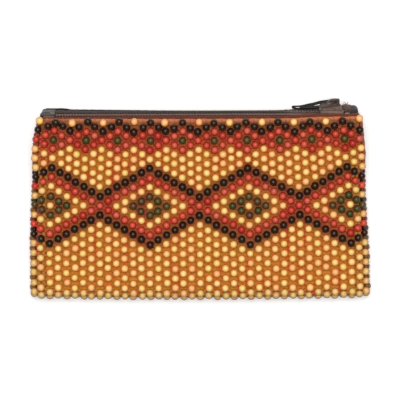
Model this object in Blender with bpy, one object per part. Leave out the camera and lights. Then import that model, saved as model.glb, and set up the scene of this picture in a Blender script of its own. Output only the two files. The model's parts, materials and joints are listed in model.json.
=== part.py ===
"""Zip coin purse of threaded beads, lying on its back.

Metres, +Z up. The front net of beads faces +Z, +X runs along the zip and +Y points out of the mouth.
The origin is under the middle of the purse, at the level of the surface that it lies on.
"""
import math

import bmesh
import bpy
from mathutils import Matrix, Vector

# Bead net: odd rows sit between the beads of the even rows, so a bead has six neighbours
LAST_COLUMN = 40
LAST_ROW = 36
FOLD_ROWS = 2
NET_HEIGHT = 0.0720
ROW_SPREAD = 0.0007
ROW_SAG = 0.0007
MIDDLE_HALF_WIDTH = 0.0701
SIDE_TAPER = 0.0020
SIDE_BULGE = 0.0013
BEAD_RELIEF = 0.0019
NET_THICKNESS = 0.0032
BEAD_RADIUS = 0.0017
FOLD_TURN = math.radians(45.0)
FOLD_REACH = 0.0030

# Sides: the end columns curl in where front and back are laced together, and stand open at the mouth
SIDE_TURN = math.radians(73.0)
LEAST_TURN = math.radians(1.0)
OPEN_ROW = 7
LACED_ROW = 17
LACED_MARGIN = 0.0005

# Pattern, counted in columns and rows: a row of big diamonds under a band of small ones
CREAM, RED, BLACK, GREEN = range(4)
DIAMOND_PITCH = 12
DIAMOND_OFFSET = 4
DIAMOND_RINGS = {0: CREAM, 2: GREEN, 4: CREAM, 6: RED, 8: BLACK}
SMALL_PITCH = 4
SMALL_ROW = 4
SMALL_RINGS = {0: GREEN, 2: RED, 4: BLACK}

# Cloth pouch and the strips that close its sides
CLOTH_THICKNESS = 0.0005
SEAM_GAP = 0.0003
FOLD_GAP = 0.0009
POUCH_LIFT = 0.0010
HEM_DROP = 0.0006
RISE_START = -0.024
POUCH_INSET = 0.0010
POUCH_FLARE = 0.0042
SIDE_STRIP_WIDTH = 0.0012
SIDE_STRIP_ROUND = 0.0004

# Zip, in its own frame: x along the teeth, y from front to back, z out of the purse
ZIP_TILT = math.radians(20.0)
ZIP_HALF_WIDTH = 0.0042
ZIP_INSET = 0.0033
ZIP_RISE = 0.0027
TAPE_THICKNESS = 0.0005
TAPE_FLANGE = 0.0060
TAPE_CORNER = 0.0012
TAPE_EDGE = 0.0009
CHANNEL_WIDTH = 0.0011
COIL_WIDTH = 0.0016
COIL_HEIGHT = 0.0014
TOOTH_PITCH = 0.0015
TOOTH_DEPTH = 0.0007
COIL_CHAMFER = 0.0004
LEFT_CURL_RADIUS = 0.0013
RIGHT_CURL_RADIUS = 0.0020
CURL_THICKNESS = 0.0004
CURL_CLEARANCE = 0.0005

# Stops
STOP_LENGTH = 0.0020
STOP_WALL = 0.0003
END_MARGIN = 0.0040

# Slider and pull
SLIDER_FRONT = 0.0032
SLIDER_REAR = 0.0073
SLIDER_MOUTH_HALF_WIDTH = 0.0036
SLIDER_WAIST_HALF_WIDTH = 0.0031
SLIDER_CORNER = 0.0011
BOTTOM_PLATE_INSET = 0.0007
PLATE_THICKNESS = 0.0008
SLIDE_CLEARANCE = 0.0003
WEDGE_HALF_WIDTH = 0.0003
WEDGE_LENGTH = 0.0022
WEDGE_NOSE = 0.0007
BRIDGE_FRONT = 0.00125
BRIDGE_REAR = -0.0043
BRIDGE_REAR_CURVE = 0.0028
BRIDGE_CORNER = 0.0005
BRIDGE_WALL = 0.0007
BRIDGE_HALF_WIDTH = 0.0008
BRIDGE_ROUNDNESS = 2.6
BRIDGE_SINK = 0.0002
BRACE_REACH = 0.0030
BRACE_SHOULDER = 0.0026
BRACE_LOW = 0.0038
BRACE_HIGH = 0.0052
PIVOT_OFFSET = -0.0003
PIVOT_RADIUS = 0.0005
PIVOT_HEIGHT = 0.0029
PULL_LENGTH = 0.0192
PULL_THICKNESS = 0.0007
PULL_EYE_HALF_WIDTH = 0.0026
PULL_TIP_HALF_WIDTH = 0.0011
PULL_EYE_LENGTH = 0.0048
PULL_WEB = 0.0014
PULL_RAIL = 0.0007
PULL_TIP_RIM = 0.0015
PULL_ROUND = 0.0008
PULL_SLOT_CORNER = 0.0002
PULL_REST = math.radians(7.2)

# How finely curved shapes are divided
LINING_COLUMNS = 3
OPEN_LINING_ROWS = 3
BEND_LINING_ROWS = 4
LACED_LINING_ROWS = 3
OPEN_RINGS = 7
LACED_RINGS = 3
FOLD_STEPS = 6
CURL_STEPS = 6
TAPE_CORNER_STEPS = 3
SLIDER_CORNER_STEPS = 2
BRIDGE_STEPS = 5
BRIDGE_CORNER_STEPS = 2
TIP_STEPS = 3
BAR_SIDES = 10
ROOT_STRIDE = 20
SHARP_ANGLE = math.radians(45.0)

# Worked out from the sizes above
MIDDLE_COLUMN = LAST_COLUMN / 2
MIDDLE_ROW = LAST_ROW / 2
ROW_STEP = NET_HEIGHT / LAST_ROW
ZIP_HALF_LENGTH = MIDDLE_HALF_WIDTH - ZIP_INSET
POUCH_DEPTH = NET_THICKNESS + SEAM_GAP + CLOTH_THICKNESS / 2
TAPE_DEPTH = POUCH_DEPTH + CLOTH_THICKNESS / 2 + SEAM_GAP + TAPE_THICKNESS / 2
CLOSED_THICKNESS = 2 * POUCH_DEPTH + CLOTH_THICKNESS + FOLD_GAP
COIL_LOW = TAPE_THICKNESS / 2 + SEAM_GAP
COIL_HIGH = COIL_LOW + COIL_HEIGHT
CHAIN_HALF_WIDTH = CHANNEL_WIDTH / 2 + COIL_WIDTH
SLIDER_CEILING = COIL_HIGH + SLIDE_CLEARANCE
SLIDER_TOP = SLIDER_CEILING + PLATE_THICKNESS
PIVOT_LEVEL = SLIDER_TOP + PIVOT_HEIGHT
BRIDGE_TOP = PIVOT_LEVEL + PIVOT_RADIUS + SLIDE_CLEARANCE + BRIDGE_WALL
COIL_END = ZIP_HALF_LENGTH - END_MARGIN - STOP_LENGTH
SLIDER_CLOSED = COIL_END - SLIDER_FRONT
SLIDER_OPEN = SLIDER_REAR - COIL_END

# Planes in which a profile is drawn, as the frame that its two axes and its depth are laid along
FLAT = Matrix(((1, 0, 0), (0, 1, 0), (0, 0, 1)))
LENGTHWAYS = Matrix(((1, 0, 0), (0, 0, 1), (0, 1, 0)))
CROSSWAYS = Matrix(((0, 0, 1), (1, 0, 0), (0, 1, 0)))


def clear_scene():
    for thing in list(bpy.data.objects):
        bpy.data.objects.remove(thing, do_unlink=True)


def material(name, red, green, blue, roughness, metallic=0.0):
    """A Principled material whose colour is given as it looks, from 0 to 255."""
    finish = bpy.data.materials.new(name)
    finish.use_nodes = True
    shader = finish.node_tree.nodes["Principled BSDF"]
    colour = [(part / 255) ** 2.2 for part in (red, green, blue)]
    shader.inputs["Base Color"].default_value = (*colour, 1.0)
    shader.inputs["Roughness"].default_value = roughness
    shader.inputs["Metallic"].default_value = metallic
    return finish


def add_object(name, mesh, finishes, parent=None):
    """Turn a bmesh into an object, with its faces pointing out and smooth up to its sharp edges."""
    bmesh.ops.recalc_face_normals(mesh, faces=mesh.faces)
    for face in mesh.faces:
        face.smooth = True
    for edge in mesh.edges:
        edge.smooth = edge.calc_face_angle() < SHARP_ANGLE
    data = bpy.data.meshes.new(name)
    mesh.to_mesh(data)
    mesh.free()
    for finish in finishes:
        data.materials.append(finish)
    piece = bpy.data.objects.new(name, data)
    bpy.context.scene.collection.objects.link(piece)
    piece.parent = parent
    return piece


def add_empty(name, location, rotation, parent=None):
    empty = bpy.data.objects.new(name, None)
    empty.location = location
    empty.rotation_euler = rotation
    empty.parent = parent
    bpy.context.scene.collection.objects.link(empty)
    return empty


def prism(outline, low, high, plane=FLAT):
    """A closed outline drawn in a plane and extruded from low to high."""
    mesh = bmesh.new()
    corners = [mesh.verts.new(plane @ Vector((across, up, low))) for across, up in outline]
    base = mesh.faces.new(corners)
    grown = bmesh.ops.extrude_face_region(mesh, geom=[base])["geom"]
    top = [item for item in grown if isinstance(item, bmesh.types.BMVert)]
    bmesh.ops.translate(mesh, verts=top, vec=plane @ Vector((0, 0, high - low)))
    return mesh


def combine(piece, name, mesh, operation):
    """Join or cut a piece with a guide shape that isn't part of the model."""
    guide = add_object(name, mesh, [], piece.parent)
    guide.hide_render = True
    guide.display_type = "WIRE"
    step = piece.modifiers.new(name, "BOOLEAN")
    step.operation = operation
    step.solver = "EXACT"
    step.object = guide


def rounded_corner(before, corner, after, radius, steps):
    """Points of a smooth bend that starts and ends one radius away from a corner."""
    start = corner + (before - corner).normalized() * radius
    end = corner + (after - corner).normalized() * radius
    points = []
    for step in range(steps + 1):
        share = step / steps
        points.append(start.lerp(corner, share).lerp(corner.lerp(end, share), share))
    return points


def rounded_outline(corners, radius, steps):
    points = []
    for index, corner in enumerate(corners):
        after = corners[(index + 1) % len(corners)]
        points += rounded_corner(corners[index - 1], corner, after, radius, steps)
    return points


def thick_line(path, thickness):
    """Offset an open path to both sides, as the outline of a sheet seen on its edge."""
    left = []
    right = []
    for index, point in enumerate(path):
        before = path[max(index - 1, 0)]
        after = path[min(index + 1, len(path) - 1)]
        along = (after - before).normalized()
        aside = Vector((-along.y, along.x)) * thickness / 2
        left.append(point + aside)
        right.append(point - aside)
    return left, right


def evenly(first, last, count):
    return [first + (last - first) * step / (count - 1) for step in range(count)]


def half_width(down):
    """Distance of the end columns from the middle, from -1 at the top row to 1 at the last row."""
    return MIDDLE_HALF_WIDTH + SIDE_TAPER * down - SIDE_BULGE * down * down


def lacing(row):
    """From 0 where the sides stand open near the mouth to 1 where front and back are laced together."""
    share = max(0.0, min(1.0, (row - OPEN_ROW) / (LACED_ROW - OPEN_ROW)))
    return share * share * (3 - 2 * share)


def row_at(y):
    return MIDDLE_ROW - y / ROW_STEP


def inner_column_at(y):
    """Distance from the middle of the column next to the end one, at a height of the purse."""
    return half_width(row_at(y) / MIDDLE_ROW - 1) * (MIDDLE_COLUMN - 1) / MIDDLE_COLUMN


def curl(row):
    """How far an end column turns in, and the radius of that bend at the crowns of its beads."""
    turn = max(LEAST_TURN, SIDE_TURN * lacing(row))
    column_step = MIDDLE_HALF_WIDTH / MIDDLE_COLUMN
    return turn, column_step / turn + BEAD_RADIUS


def curl_drop(y, outward, depth):
    """How far the bend lowers a layer at a distance outward of the column where it starts."""
    if outward <= 0:
        return 0.0
    reach = curl(row_at(y))[1] - depth
    return reach - math.sqrt(max(0.0, reach * reach - outward * outward))


def pouch_half_width(y):
    """The pouch ends inside the curled columns, and spreads to the last ones at the mouth."""
    spread = 1 - lacing(row_at(y))
    return inner_column_at(y) - POUCH_INSET + POUCH_FLARE * spread * spread


def net_point(column, row):
    """Place in the plane of the net. Its rows sag in the middle and lie closer towards the mouth."""
    across = (column - MIDDLE_COLUMN) / MIDDLE_COLUMN
    down = (row - MIDDLE_ROW) / MIDDLE_ROW
    x = across * half_width(down)
    y = ROW_SAG * across * across - ROW_STEP * (row - MIDDLE_ROW) - ROW_SPREAD * down * down
    return x, y


def curled_point(column, row, depth):
    """Place of a point of the net with its end columns bent in, and its level under the crowns."""
    flat_row = min(row, LAST_ROW)
    side = math.copysign(1.0, column - MIDDLE_COLUMN)
    past = abs(column - MIDDLE_COLUMN) - (MIDDLE_COLUMN - 1)
    x, y = net_point(column, flat_row)
    if past <= 0:
        return x, y, depth
    laced = lacing(flat_row)
    column_step = MIDDLE_HALF_WIDTH / MIDDLE_COLUMN
    room = (BEAD_RADIUS * (1 - laced) + LACED_MARGIN * laced) / column_step
    turn, radius = curl(flat_row)
    angle = turn * min(past, 1 + room)
    reach = radius - depth
    bend_start = net_point(MIDDLE_COLUMN + side * (MIDDLE_COLUMN - 1), flat_row)[0]
    return bend_start + side * reach * math.sin(angle), y, depth + reach * (1 - math.cos(angle))


MOUTH_Y = net_point(MIDDLE_COLUMN, 0)[1] + ZIP_RISE - ZIP_HALF_WIDTH * math.sin(ZIP_TILT)
ZIP_Y = net_point(MIDDLE_COLUMN, 0)[1] + ZIP_RISE
ZIP_Z = TAPE_DEPTH + ZIP_HALF_WIDTH * math.cos(ZIP_TILT)
MOUTH_RISE = 2 * ZIP_Z - CLOSED_THICKNESS
FOLD_Y = net_point(0, LAST_ROW)[1] + POUCH_LIFT
BOTTOM_Y = net_point(MIDDLE_COLUMN, LAST_ROW)[1] - FOLD_REACH * math.sin(FOLD_TURN * FOLD_ROWS)
TOP_Y = ZIP_Y + BRIDGE_HALF_WIDTH * math.sin(ZIP_TILT) + BRIDGE_TOP * math.cos(ZIP_TILT)


def front_height(y):
    """Level of the front beads, which swings up towards the mouth that the zip holds open."""
    share = max(0.0, (y - RISE_START) / (MOUTH_Y - RISE_START))
    return CLOSED_THICKNESS + MOUTH_RISE * share * share


def front_point(column, row, depth):
    """A point of the front net, which goes on round the bottom fold past its last row."""
    x, y, level = curled_point(column, row, depth)
    if row <= LAST_ROW:
        return Vector((x, y, front_height(y) - level))
    turn = FOLD_TURN * (row - LAST_ROW)
    middle = CLOSED_THICKNESS / 2
    share = 1 - level / middle
    return Vector((x, y - share * FOLD_REACH * math.sin(turn), middle * (1 + share * math.cos(turn))))


def back_point(column, row, depth):
    x, y, level = curled_point(column, row, depth)
    return Vector((x, y, level))


def bead_colour(column, row):
    """Slot of a bead, by its distance from the middle of the diamond that it belongs to."""
    ring = abs((column + DIAMOND_OFFSET) % DIAMOND_PITCH - DIAMOND_PITCH / 2) + abs(row - MIDDLE_ROW)
    if ring in DIAMOND_RINGS:
        return DIAMOND_RINGS[ring]
    small_ring = abs(column % SMALL_PITCH - SMALL_PITCH / 2) + abs(row - SMALL_ROW)
    finish = SMALL_RINGS.get(small_ring, CREAM)
    return CREAM if finish == BLACK and row >= SMALL_ROW else finish


def open_loop(mesh):
    """The border of an open mesh, as vertices in order."""
    links = {}
    for edge in mesh.edges:
        if edge.is_boundary:
            for corner in edge.verts:
                links.setdefault(corner, []).append(edge.other_vert(corner))
    loop = [next(iter(links))]
    loop.append(links[loop[0]][0])
    while True:
        onward = [corner for corner in links[loop[-1]] if corner is not loop[-2]][0]
        if onward is loop[0]:
            return loop
        loop.append(onward)


def turn_sense(loop):
    """Positive where a loop runs counterclockwise seen from above."""
    pairs = zip(loop, loop[1:] + loop[:1])
    return sum(a.co.x * b.co.y - b.co.x * a.co.y for a, b in pairs)


def stitch(mesh, outer, inner):
    """Close the band between two loops, always along the shorter diagonal."""
    if turn_sense(outer) * turn_sense(inner) < 0:
        inner = inner[::-1]
    nearest = min(range(len(inner)), key=lambda index: (inner[index].co - outer[0].co).length)
    inner = inner[nearest:] + inner[:nearest]
    done_outer = 0
    done_inner = 0
    while done_outer < len(outer) or done_inner < len(inner):
        here = outer[done_outer % len(outer)]
        there = inner[done_inner % len(inner)]
        next_here = outer[(done_outer + 1) % len(outer)]
        next_there = inner[(done_inner + 1) % len(inner)]
        outer_left = done_outer < len(outer)
        shorter = (next_here.co - there.co).length < (next_there.co - here.co).length
        if outer_left and (shorter or done_inner == len(inner)):
            mesh.faces.new((here, next_here, there))
            done_outer += 1
        else:
            mesh.faces.new((here, next_there, there))
            done_inner += 1


def lined_grid(mesh, place, columns, rows):
    """The smooth inner side of a net, as a coarse grid whose border loop it returns. Each of its
    quads is split so that it stays flat as far as it can beside a curled column."""
    grid = [[mesh.verts.new(place(column, row, NET_THICKNESS)) for column in columns] for row in rows]
    for upper, lower in zip(grid, grid[1:]):
        for index in range(len(columns) - 1):
            corners = [upper[index], upper[index + 1], lower[index + 1], lower[index]]
            if columns[index] >= MIDDLE_COLUMN:
                corners = corners[1:] + corners[:1]
            mesh.faces.new((corners[0], corners[1], corners[2]))
            mesh.faces.new((corners[0], corners[2], corners[3]))
    right = [line[-1] for line in grid[1:-1]]
    left = [line[0] for line in grid[1:-1]]
    return grid[0] + right + grid[-1][::-1] + left[::-1]


def bead_net(name, place, last_row, inner_rows, finishes):
    """Threaded beads as one closed skin. Six facets rise to the crown of each bead, and each hollow
    between three beads is shared by all three."""
    mesh = bmesh.new()
    hollows = {}
    around = ((2, 0), (1, 1), (-1, 1), (-2, 0), (-1, -1), (1, -1))
    beyond = BEAD_RADIUS / ROW_STEP
    for row in range(last_row + 1):
        for column in range(row % 2, LAST_COLUMN + 1, 2):
            crown = mesh.verts.new(place(column, row, 0.0))
            ring = []
            for thirds, rows_down in around:
                key = (3 * column + thirds, row + rows_down)
                if key not in hollows:
                    hollow_row = max(-beyond, min(key[1], last_row + beyond))
                    hollows[key] = mesh.verts.new(place(key[0] / 3, hollow_row, BEAD_RELIEF))
                ring.append(hollows[key])
            for index, hollow in enumerate(ring):
                facet = mesh.faces.new((crown, hollow, ring[index - 1]))
                facet.material_index = bead_colour(column, row)
    border = open_loop(mesh)
    columns = [0] + evenly(1, LAST_COLUMN - 1, LINING_COLUMNS) + [LAST_COLUMN]
    stitch(mesh, border, lined_grid(mesh, place, columns, inner_rows))
    return add_object(name, mesh, finishes)


def sheet(name, path, thickness, reaches, finish, parent=None):
    """A cloth sheet that follows a path of (y, z) points and reaches as far to each side as is given."""
    mesh = bmesh.new()
    rings = []
    for upper, lower, reach in zip(*thick_line(path, thickness), reaches):
        corners = ((-reach, upper), (reach, upper), (reach, lower), (-reach, lower))
        rings.append([mesh.verts.new((x, point.x, point.y)) for x, point in corners])
    for ring, onward in zip(rings, rings[1:]):
        for index in range(4):
            mesh.faces.new((ring[index - 1], ring[index], onward[index], onward[index - 1]))
    mesh.faces.new(rings[0])
    mesh.faces.new(rings[-1])
    return add_object(name, mesh, [finish], parent)


def side_levels():
    """Heights of the purse from the hem to the fold, closer together where the sides open."""
    laced_y = ROW_STEP * (MIDDLE_ROW - LACED_ROW)
    return evenly(MOUTH_Y - HEM_DROP, laced_y, OPEN_RINGS) + evenly(laced_y, FOLD_Y, LACED_RINGS)[1:]


def cloth_pouch(finish):
    """One folded cloth: down the front, round the bottom fold and up the back."""
    levels = side_levels()
    back_hem = levels[0] + 2 * ZIP_HALF_WIDTH * math.sin(ZIP_TILT)
    path = [Vector((y, front_height(y) - POUCH_DEPTH)) for y in levels]
    middle = CLOSED_THICKNESS / 2
    for step in range(1, FOLD_STEPS):
        angle = math.pi * step / FOLD_STEPS
        reach = middle - POUCH_DEPTH
        path.append(Vector((FOLD_Y - reach * math.sin(angle), middle + reach * math.cos(angle))))
    path += [Vector((y, POUCH_DEPTH)) for y in levels[::-1]] + [Vector((back_hem, POUCH_DEPTH))]
    reaches = [pouch_half_width(point.x) for point in path]
    return sheet("cloth_pouch", path, CLOTH_THICKNESS, reaches, finish)


def side_strip(name, side, finish):
    """A folded cloth strip that closes one side of the pouch from the fold to the hem."""
    mesh = bmesh.new()
    rings = []
    depth = NET_THICKNESS + SEAM_GAP
    for y in side_levels():
        inner = pouch_half_width(y) + SEAM_GAP
        outer = inner + SIDE_STRIP_WIDTH
        bend_start = inner_column_at(y)
        inner_low = depth + curl_drop(y, inner - bend_start, depth)
        outer_low = depth + curl_drop(y, outer - bend_start, depth)
        top = front_height(y)
        section = (
            (inner, inner_low), (outer - SIDE_STRIP_ROUND, outer_low),
            (outer, outer_low + SIDE_STRIP_ROUND), (outer, top - outer_low - SIDE_STRIP_ROUND),
            (outer - SIDE_STRIP_ROUND, top - outer_low), (inner, top - inner_low),
        )
        rings.append([mesh.verts.new((side * x, y, z)) for x, z in section])
    for ring, onward in zip(rings, rings[1:]):
        for index in range(len(ring)):
            mesh.faces.new((ring[index - 1], ring[index], onward[index], onward[index - 1]))
    mesh.faces.new(rings[0])
    mesh.faces.new(rings[-1])
    return add_object(name, mesh, [finish])


def in_zip_frame(y, z):
    """A point of the purse's cross-section, as (y, z) in the zip's own frame."""
    up = z - ZIP_Z
    out = y - ZIP_Y
    cosine = math.cos(ZIP_TILT)
    sine = math.sin(ZIP_TILT)
    return Vector((out * sine - up * cosine, out * cosine + up * sine))


def tape_curl(end, side, radius):
    """The end of the tape, turned back over itself, as a strip across the flat part of the tape."""
    foot = ZIP_HALF_LENGTH - radius - TAPE_THICKNESS / 2
    cut_end = COIL_END + CURL_CLEARANCE
    path = [Vector((end * cut_end, 0.0)), Vector((end * foot, 0.0))]
    for step in range(1, CURL_STEPS + 1):
        angle = math.pi * step / CURL_STEPS
        path.append(Vector((end * (foot + radius * math.sin(angle)), radius * (1 - math.cos(angle)))))
    path.append(Vector((end * cut_end, 2 * radius)))
    left, right = thick_line(path, CURL_THICKNESS)
    near, far = sorted((side * (TAPE_EDGE + SEAM_GAP), side * (ZIP_HALF_WIDTH - TAPE_CORNER)))
    return prism(left + right[::-1], near, far, LENGTHWAYS)


def zip_tape(name, side, finish, parent):
    """Woven tape: flat beside the teeth, bent down between pouch and hollow, its ends turned back."""
    corner = Vector((side * ZIP_HALF_WIDTH, 0.0))
    edge = Vector((side * TAPE_EDGE, 0.0))
    mouth = MOUTH_Y + (1 + side) * ZIP_HALF_WIDTH * math.sin(ZIP_TILT)
    flange = []
    for y in (mouth - TAPE_FLANGE / 2, mouth - TAPE_FLANGE):
        level = TAPE_DEPTH if side > 0 else front_height(y) - TAPE_DEPTH
        flange.append(in_zip_frame(y, level))
    bend = rounded_corner(edge, corner, flange[0], TAPE_CORNER, TAPE_CORNER_STEPS)
    path = [edge] + bend + flange
    reaches = [ZIP_HALF_LENGTH - TAPE_THICKNESS] * len(path)
    tape = sheet(name, path, TAPE_THICKNESS, reaches, finish, parent)
    combine(tape, name + "_left_curl", tape_curl(-1, side, LEFT_CURL_RADIUS), "UNION")
    combine(tape, name + "_right_curl", tape_curl(1, side, RIGHT_CURL_RADIUS), "UNION")
    return tape


def zip_coil(name, side, finish, parent):
    """Half of the chain, with the tips of its teeth opposite the gaps of the other half's teeth."""
    mesh = bmesh.new()
    steps = 2 * round(2 * COIL_END / TOOTH_PITCH)
    places = evenly(-COIL_END, COIL_END, steps + 1)
    tips = []
    for step, x in enumerate(places):
        set_back = TOOTH_DEPTH if (step + (side > 0)) % 2 else 0.0
        tips.append(mesh.verts.new((x, side * (CHANNEL_WIDTH / 2 + set_back), COIL_HIGH)))
    root = side * (CHANNEL_WIDTH + TOOTH_DEPTH) / 2
    roots = [mesh.verts.new((x, root, COIL_LOW)) for x in places[:-1:ROOT_STRIDE] + places[-1:]]
    back = side * CHAIN_HALF_WIDTH
    shoulder = side * (CHAIN_HALF_WIDTH - COIL_CHAMFER)
    spine = ((shoulder, COIL_HIGH), (back, COIL_HIGH - COIL_CHAMFER), (back, COIL_LOW))
    left = [mesh.verts.new((-COIL_END, y, z)) for y, z in spine]
    right = [mesh.verts.new((COIL_END, y, z)) for y, z in spine]
    mesh.faces.new(tips + [right[0], left[0]])
    for index in range(len(spine) - 1):
        mesh.faces.new((left[index], right[index], right[index + 1], left[index + 1]))
    mesh.faces.new(roots + [right[-1], left[-1]])
    mesh.faces.new([tips[0]] + left + [roots[0]])
    mesh.faces.new([tips[-1]] + right + [roots[-1]])
    face_between(mesh, tips, roots)
    return add_object(name, mesh, [finish], parent)


def face_between(mesh, line, other):
    """Triangles between two lines with different numbers of points, end to end."""
    here = 0
    there = 0
    while here < len(line) - 1 or there < len(other) - 1:
        ahead = here < len(line) - 1
        if ahead and (there == len(other) - 1 or line[here + 1].co.x <= other[there + 1].co.x):
            mesh.faces.new((line[here], line[here + 1], other[there]))
            here += 1
        else:
            mesh.faces.new((line[here], other[there + 1], other[there]))
            there += 1


def top_stop(name, side, finish, parent):
    """A clip bent round the edge of one tape, just past the last tooth."""
    inner = TAPE_EDGE - SEAM_GAP
    outer = inner - STOP_WALL
    low = TAPE_THICKNESS / 2 + SEAM_GAP
    outline = [
        (outer, -low - STOP_WALL), (CHAIN_HALF_WIDTH, -low - STOP_WALL), (CHAIN_HALF_WIDTH, -low),
        (inner, -low), (inner, low), (CHAIN_HALF_WIDTH, low),
        (CHAIN_HALF_WIDTH, COIL_HIGH - COIL_CHAMFER), (CHAIN_HALF_WIDTH - COIL_CHAMFER, COIL_HIGH),
        (outer, COIL_HIGH),
    ]
    start = COIL_END + SEAM_GAP
    mesh = prism([(side * y, z) for y, z in outline], start, start + STOP_LENGTH, CROSSWAYS)
    return add_object(name, mesh, [finish], parent)


def bottom_stop(finish, parent):
    """A clip crimped over both tapes where the teeth begin, so that the slider can't run off."""
    inner = TAPE_EDGE - SEAM_GAP
    low = TAPE_THICKNESS / 2 + SEAM_GAP
    half = [
        (CHAIN_HALF_WIDTH, -low - STOP_WALL), (CHAIN_HALF_WIDTH, -low), (inner, -low), (inner, low),
        (CHAIN_HALF_WIDTH, low), (CHAIN_HALF_WIDTH, COIL_HIGH - COIL_CHAMFER),
        (CHAIN_HALF_WIDTH - COIL_CHAMFER, COIL_HIGH),
    ]
    outline = half + [(-y, z) for y, z in reversed(half)]
    start = -COIL_END - SEAM_GAP
    mesh = prism(outline, start - STOP_LENGTH, start, CROSSWAYS)
    return add_object("bottom_stop", mesh, [finish], parent)


def slider_outline(inset):
    """Plan of the slider: wide at the mouth that takes in the teeth, narrower where they leave."""
    mouth = SLIDER_MOUTH_HALF_WIDTH - inset
    waist = SLIDER_WAIST_HALF_WIDTH - inset
    half = [Vector((SLIDER_FRONT, mouth)), Vector((-SLIDER_REAR, waist))]
    corners = half + [Vector((point.x, -point.y)) for point in reversed(half)]
    return rounded_outline(corners, SLIDER_CORNER, SLIDER_CORNER_STEPS)


def bridge_side(front, rear, top, corner):
    """One side of the bridge's band: up the front, over a small corner, and down the rear curve."""
    base = SLIDER_TOP - BRIDGE_SINK
    crest = BRIDGE_REAR + BRIDGE_REAR_CURVE
    points = [Vector((front, base))]
    edge = Vector((front, top))
    points += rounded_corner(points[0], edge, Vector((crest, top)), corner, BRIDGE_CORNER_STEPS)
    for step in range(BRIDGE_STEPS + 1):
        angle = math.pi / 2 * step / BRIDGE_STEPS
        back = math.sin(angle) ** (2 / BRIDGE_ROUNDNESS)
        up = max(0.0, math.cos(angle)) ** (2 / BRIDGE_ROUNDNESS)
        points.append(Vector((crest - (crest - rear) * back, base + (top - base) * up)))
    return points


def bridge_outline():
    """The slider's bridge seen from the side: a band over an open window, braced at its front."""
    outer = bridge_side(BRIDGE_FRONT, BRIDGE_REAR, BRIDGE_TOP, BRIDGE_CORNER)
    window = bridge_side(
        BRIDGE_FRONT - BRIDGE_WALL, BRIDGE_REAR + BRIDGE_WALL, BRIDGE_TOP - BRIDGE_WALL, BRIDGE_CORNER / 2)
    brace = [
        Vector((BRACE_REACH, outer[0].y)),
        Vector((BRACE_SHOULDER, BRACE_LOW)),
        Vector((BRIDGE_FRONT, BRACE_HIGH)),
    ]
    return brace + outer[1:] + window[::-1]


def slider_body(finish, parent):
    """Top shell with two flanges, bottom plate, and the wedge that joins them and parts the teeth."""
    body = add_object("slider_body", prism(slider_outline(0.0), COIL_LOW, SLIDER_TOP), [finish], parent)
    channel_half = CHAIN_HALF_WIDTH + SLIDE_CLEARANCE
    reach = SLIDER_FRONT + SLIDER_REAR
    floor = -COIL_LOW
    channel = [
        (-reach, -channel_half), (reach, -channel_half), (reach, channel_half), (-reach, channel_half),
    ]
    combine(body, "coil_channel", prism(channel, floor, SLIDER_CEILING), "DIFFERENCE")
    half_plate = PLATE_THICKNESS / 2
    wedge = prism(wedge_outline(), floor - half_plate, SLIDER_CEILING + half_plate)
    combine(body, "wedge", wedge, "UNION")
    plate = prism(slider_outline(BOTTOM_PLATE_INSET), floor - PLATE_THICKNESS, floor)
    combine(body, "bottom_plate", plate, "UNION")
    bridge = prism(bridge_outline(), -BRIDGE_HALF_WIDTH, BRIDGE_HALF_WIDTH, LENGTHWAYS)
    combine(body, "bridge", bridge, "UNION")
    return body


def wedge_outline():
    nose = SLIDER_FRONT - SLIDE_CLEARANCE
    tail = nose - WEDGE_LENGTH
    broad = nose - WEDGE_NOSE
    return [(nose, 0.0), (broad, WEDGE_HALF_WIDTH), (tail, 0.0), (broad, -WEDGE_HALF_WIDTH)]


def slider_pull(finish, parent):
    """Flat pull with a square eye for the bridge and a long slot, narrower towards its rounded tip."""
    neck = Vector((-PULL_EYE_LENGTH - PULL_WEB, PULL_EYE_HALF_WIDTH))
    tip = Vector((-PULL_LENGTH + PIVOT_RADIUS, PULL_TIP_HALF_WIDTH))
    upper = [Vector((0.0, PULL_EYE_HALF_WIDTH)), neck]
    upper += rounded_corner(neck, tip, Vector((tip.x, 0.0)), PULL_ROUND, TIP_STEPS)
    outline = upper + [Vector((point.x, -point.y)) for point in reversed(upper)]
    half = PULL_THICKNESS / 2
    pull = add_object("slider_pull", prism(outline, -half, half), [finish], parent)
    eye_half = PULL_EYE_HALF_WIDTH - PULL_RAIL
    eye = [
        Vector((PIVOT_RADIUS, eye_half)), Vector((-PULL_EYE_LENGTH, eye_half)),
        Vector((-PULL_EYE_LENGTH, -eye_half)), Vector((PIVOT_RADIUS, -eye_half)),
    ]
    combine(pull, "pull_eye", prism(eye, -PULL_THICKNESS, PULL_THICKNESS), "DIFFERENCE")
    slot_end = neck.lerp(tip, 1 - PULL_TIP_RIM / (neck.x - tip.x))
    slot_side = [Vector((point.x, point.y - PULL_RAIL)) for point in (neck, slot_end)]
    slot = slot_side + [Vector((point.x, -point.y)) for point in reversed(slot_side)]
    slot = rounded_outline(slot, PULL_SLOT_CORNER, 1)
    combine(pull, "pull_slot", prism(slot, -PULL_THICKNESS, PULL_THICKNESS), "DIFFERENCE")
    bar = []
    for side in range(BAR_SIDES):
        angle = math.tau * side / BAR_SIDES
        bar.append((PIVOT_RADIUS * math.cos(angle), PIVOT_RADIUS * math.sin(angle)))
    pin = prism(bar, -PULL_EYE_HALF_WIDTH, PULL_EYE_HALF_WIDTH, LENGTHWAYS)
    combine(pull, "pull_bar", pin, "UNION")
    return pull


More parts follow.
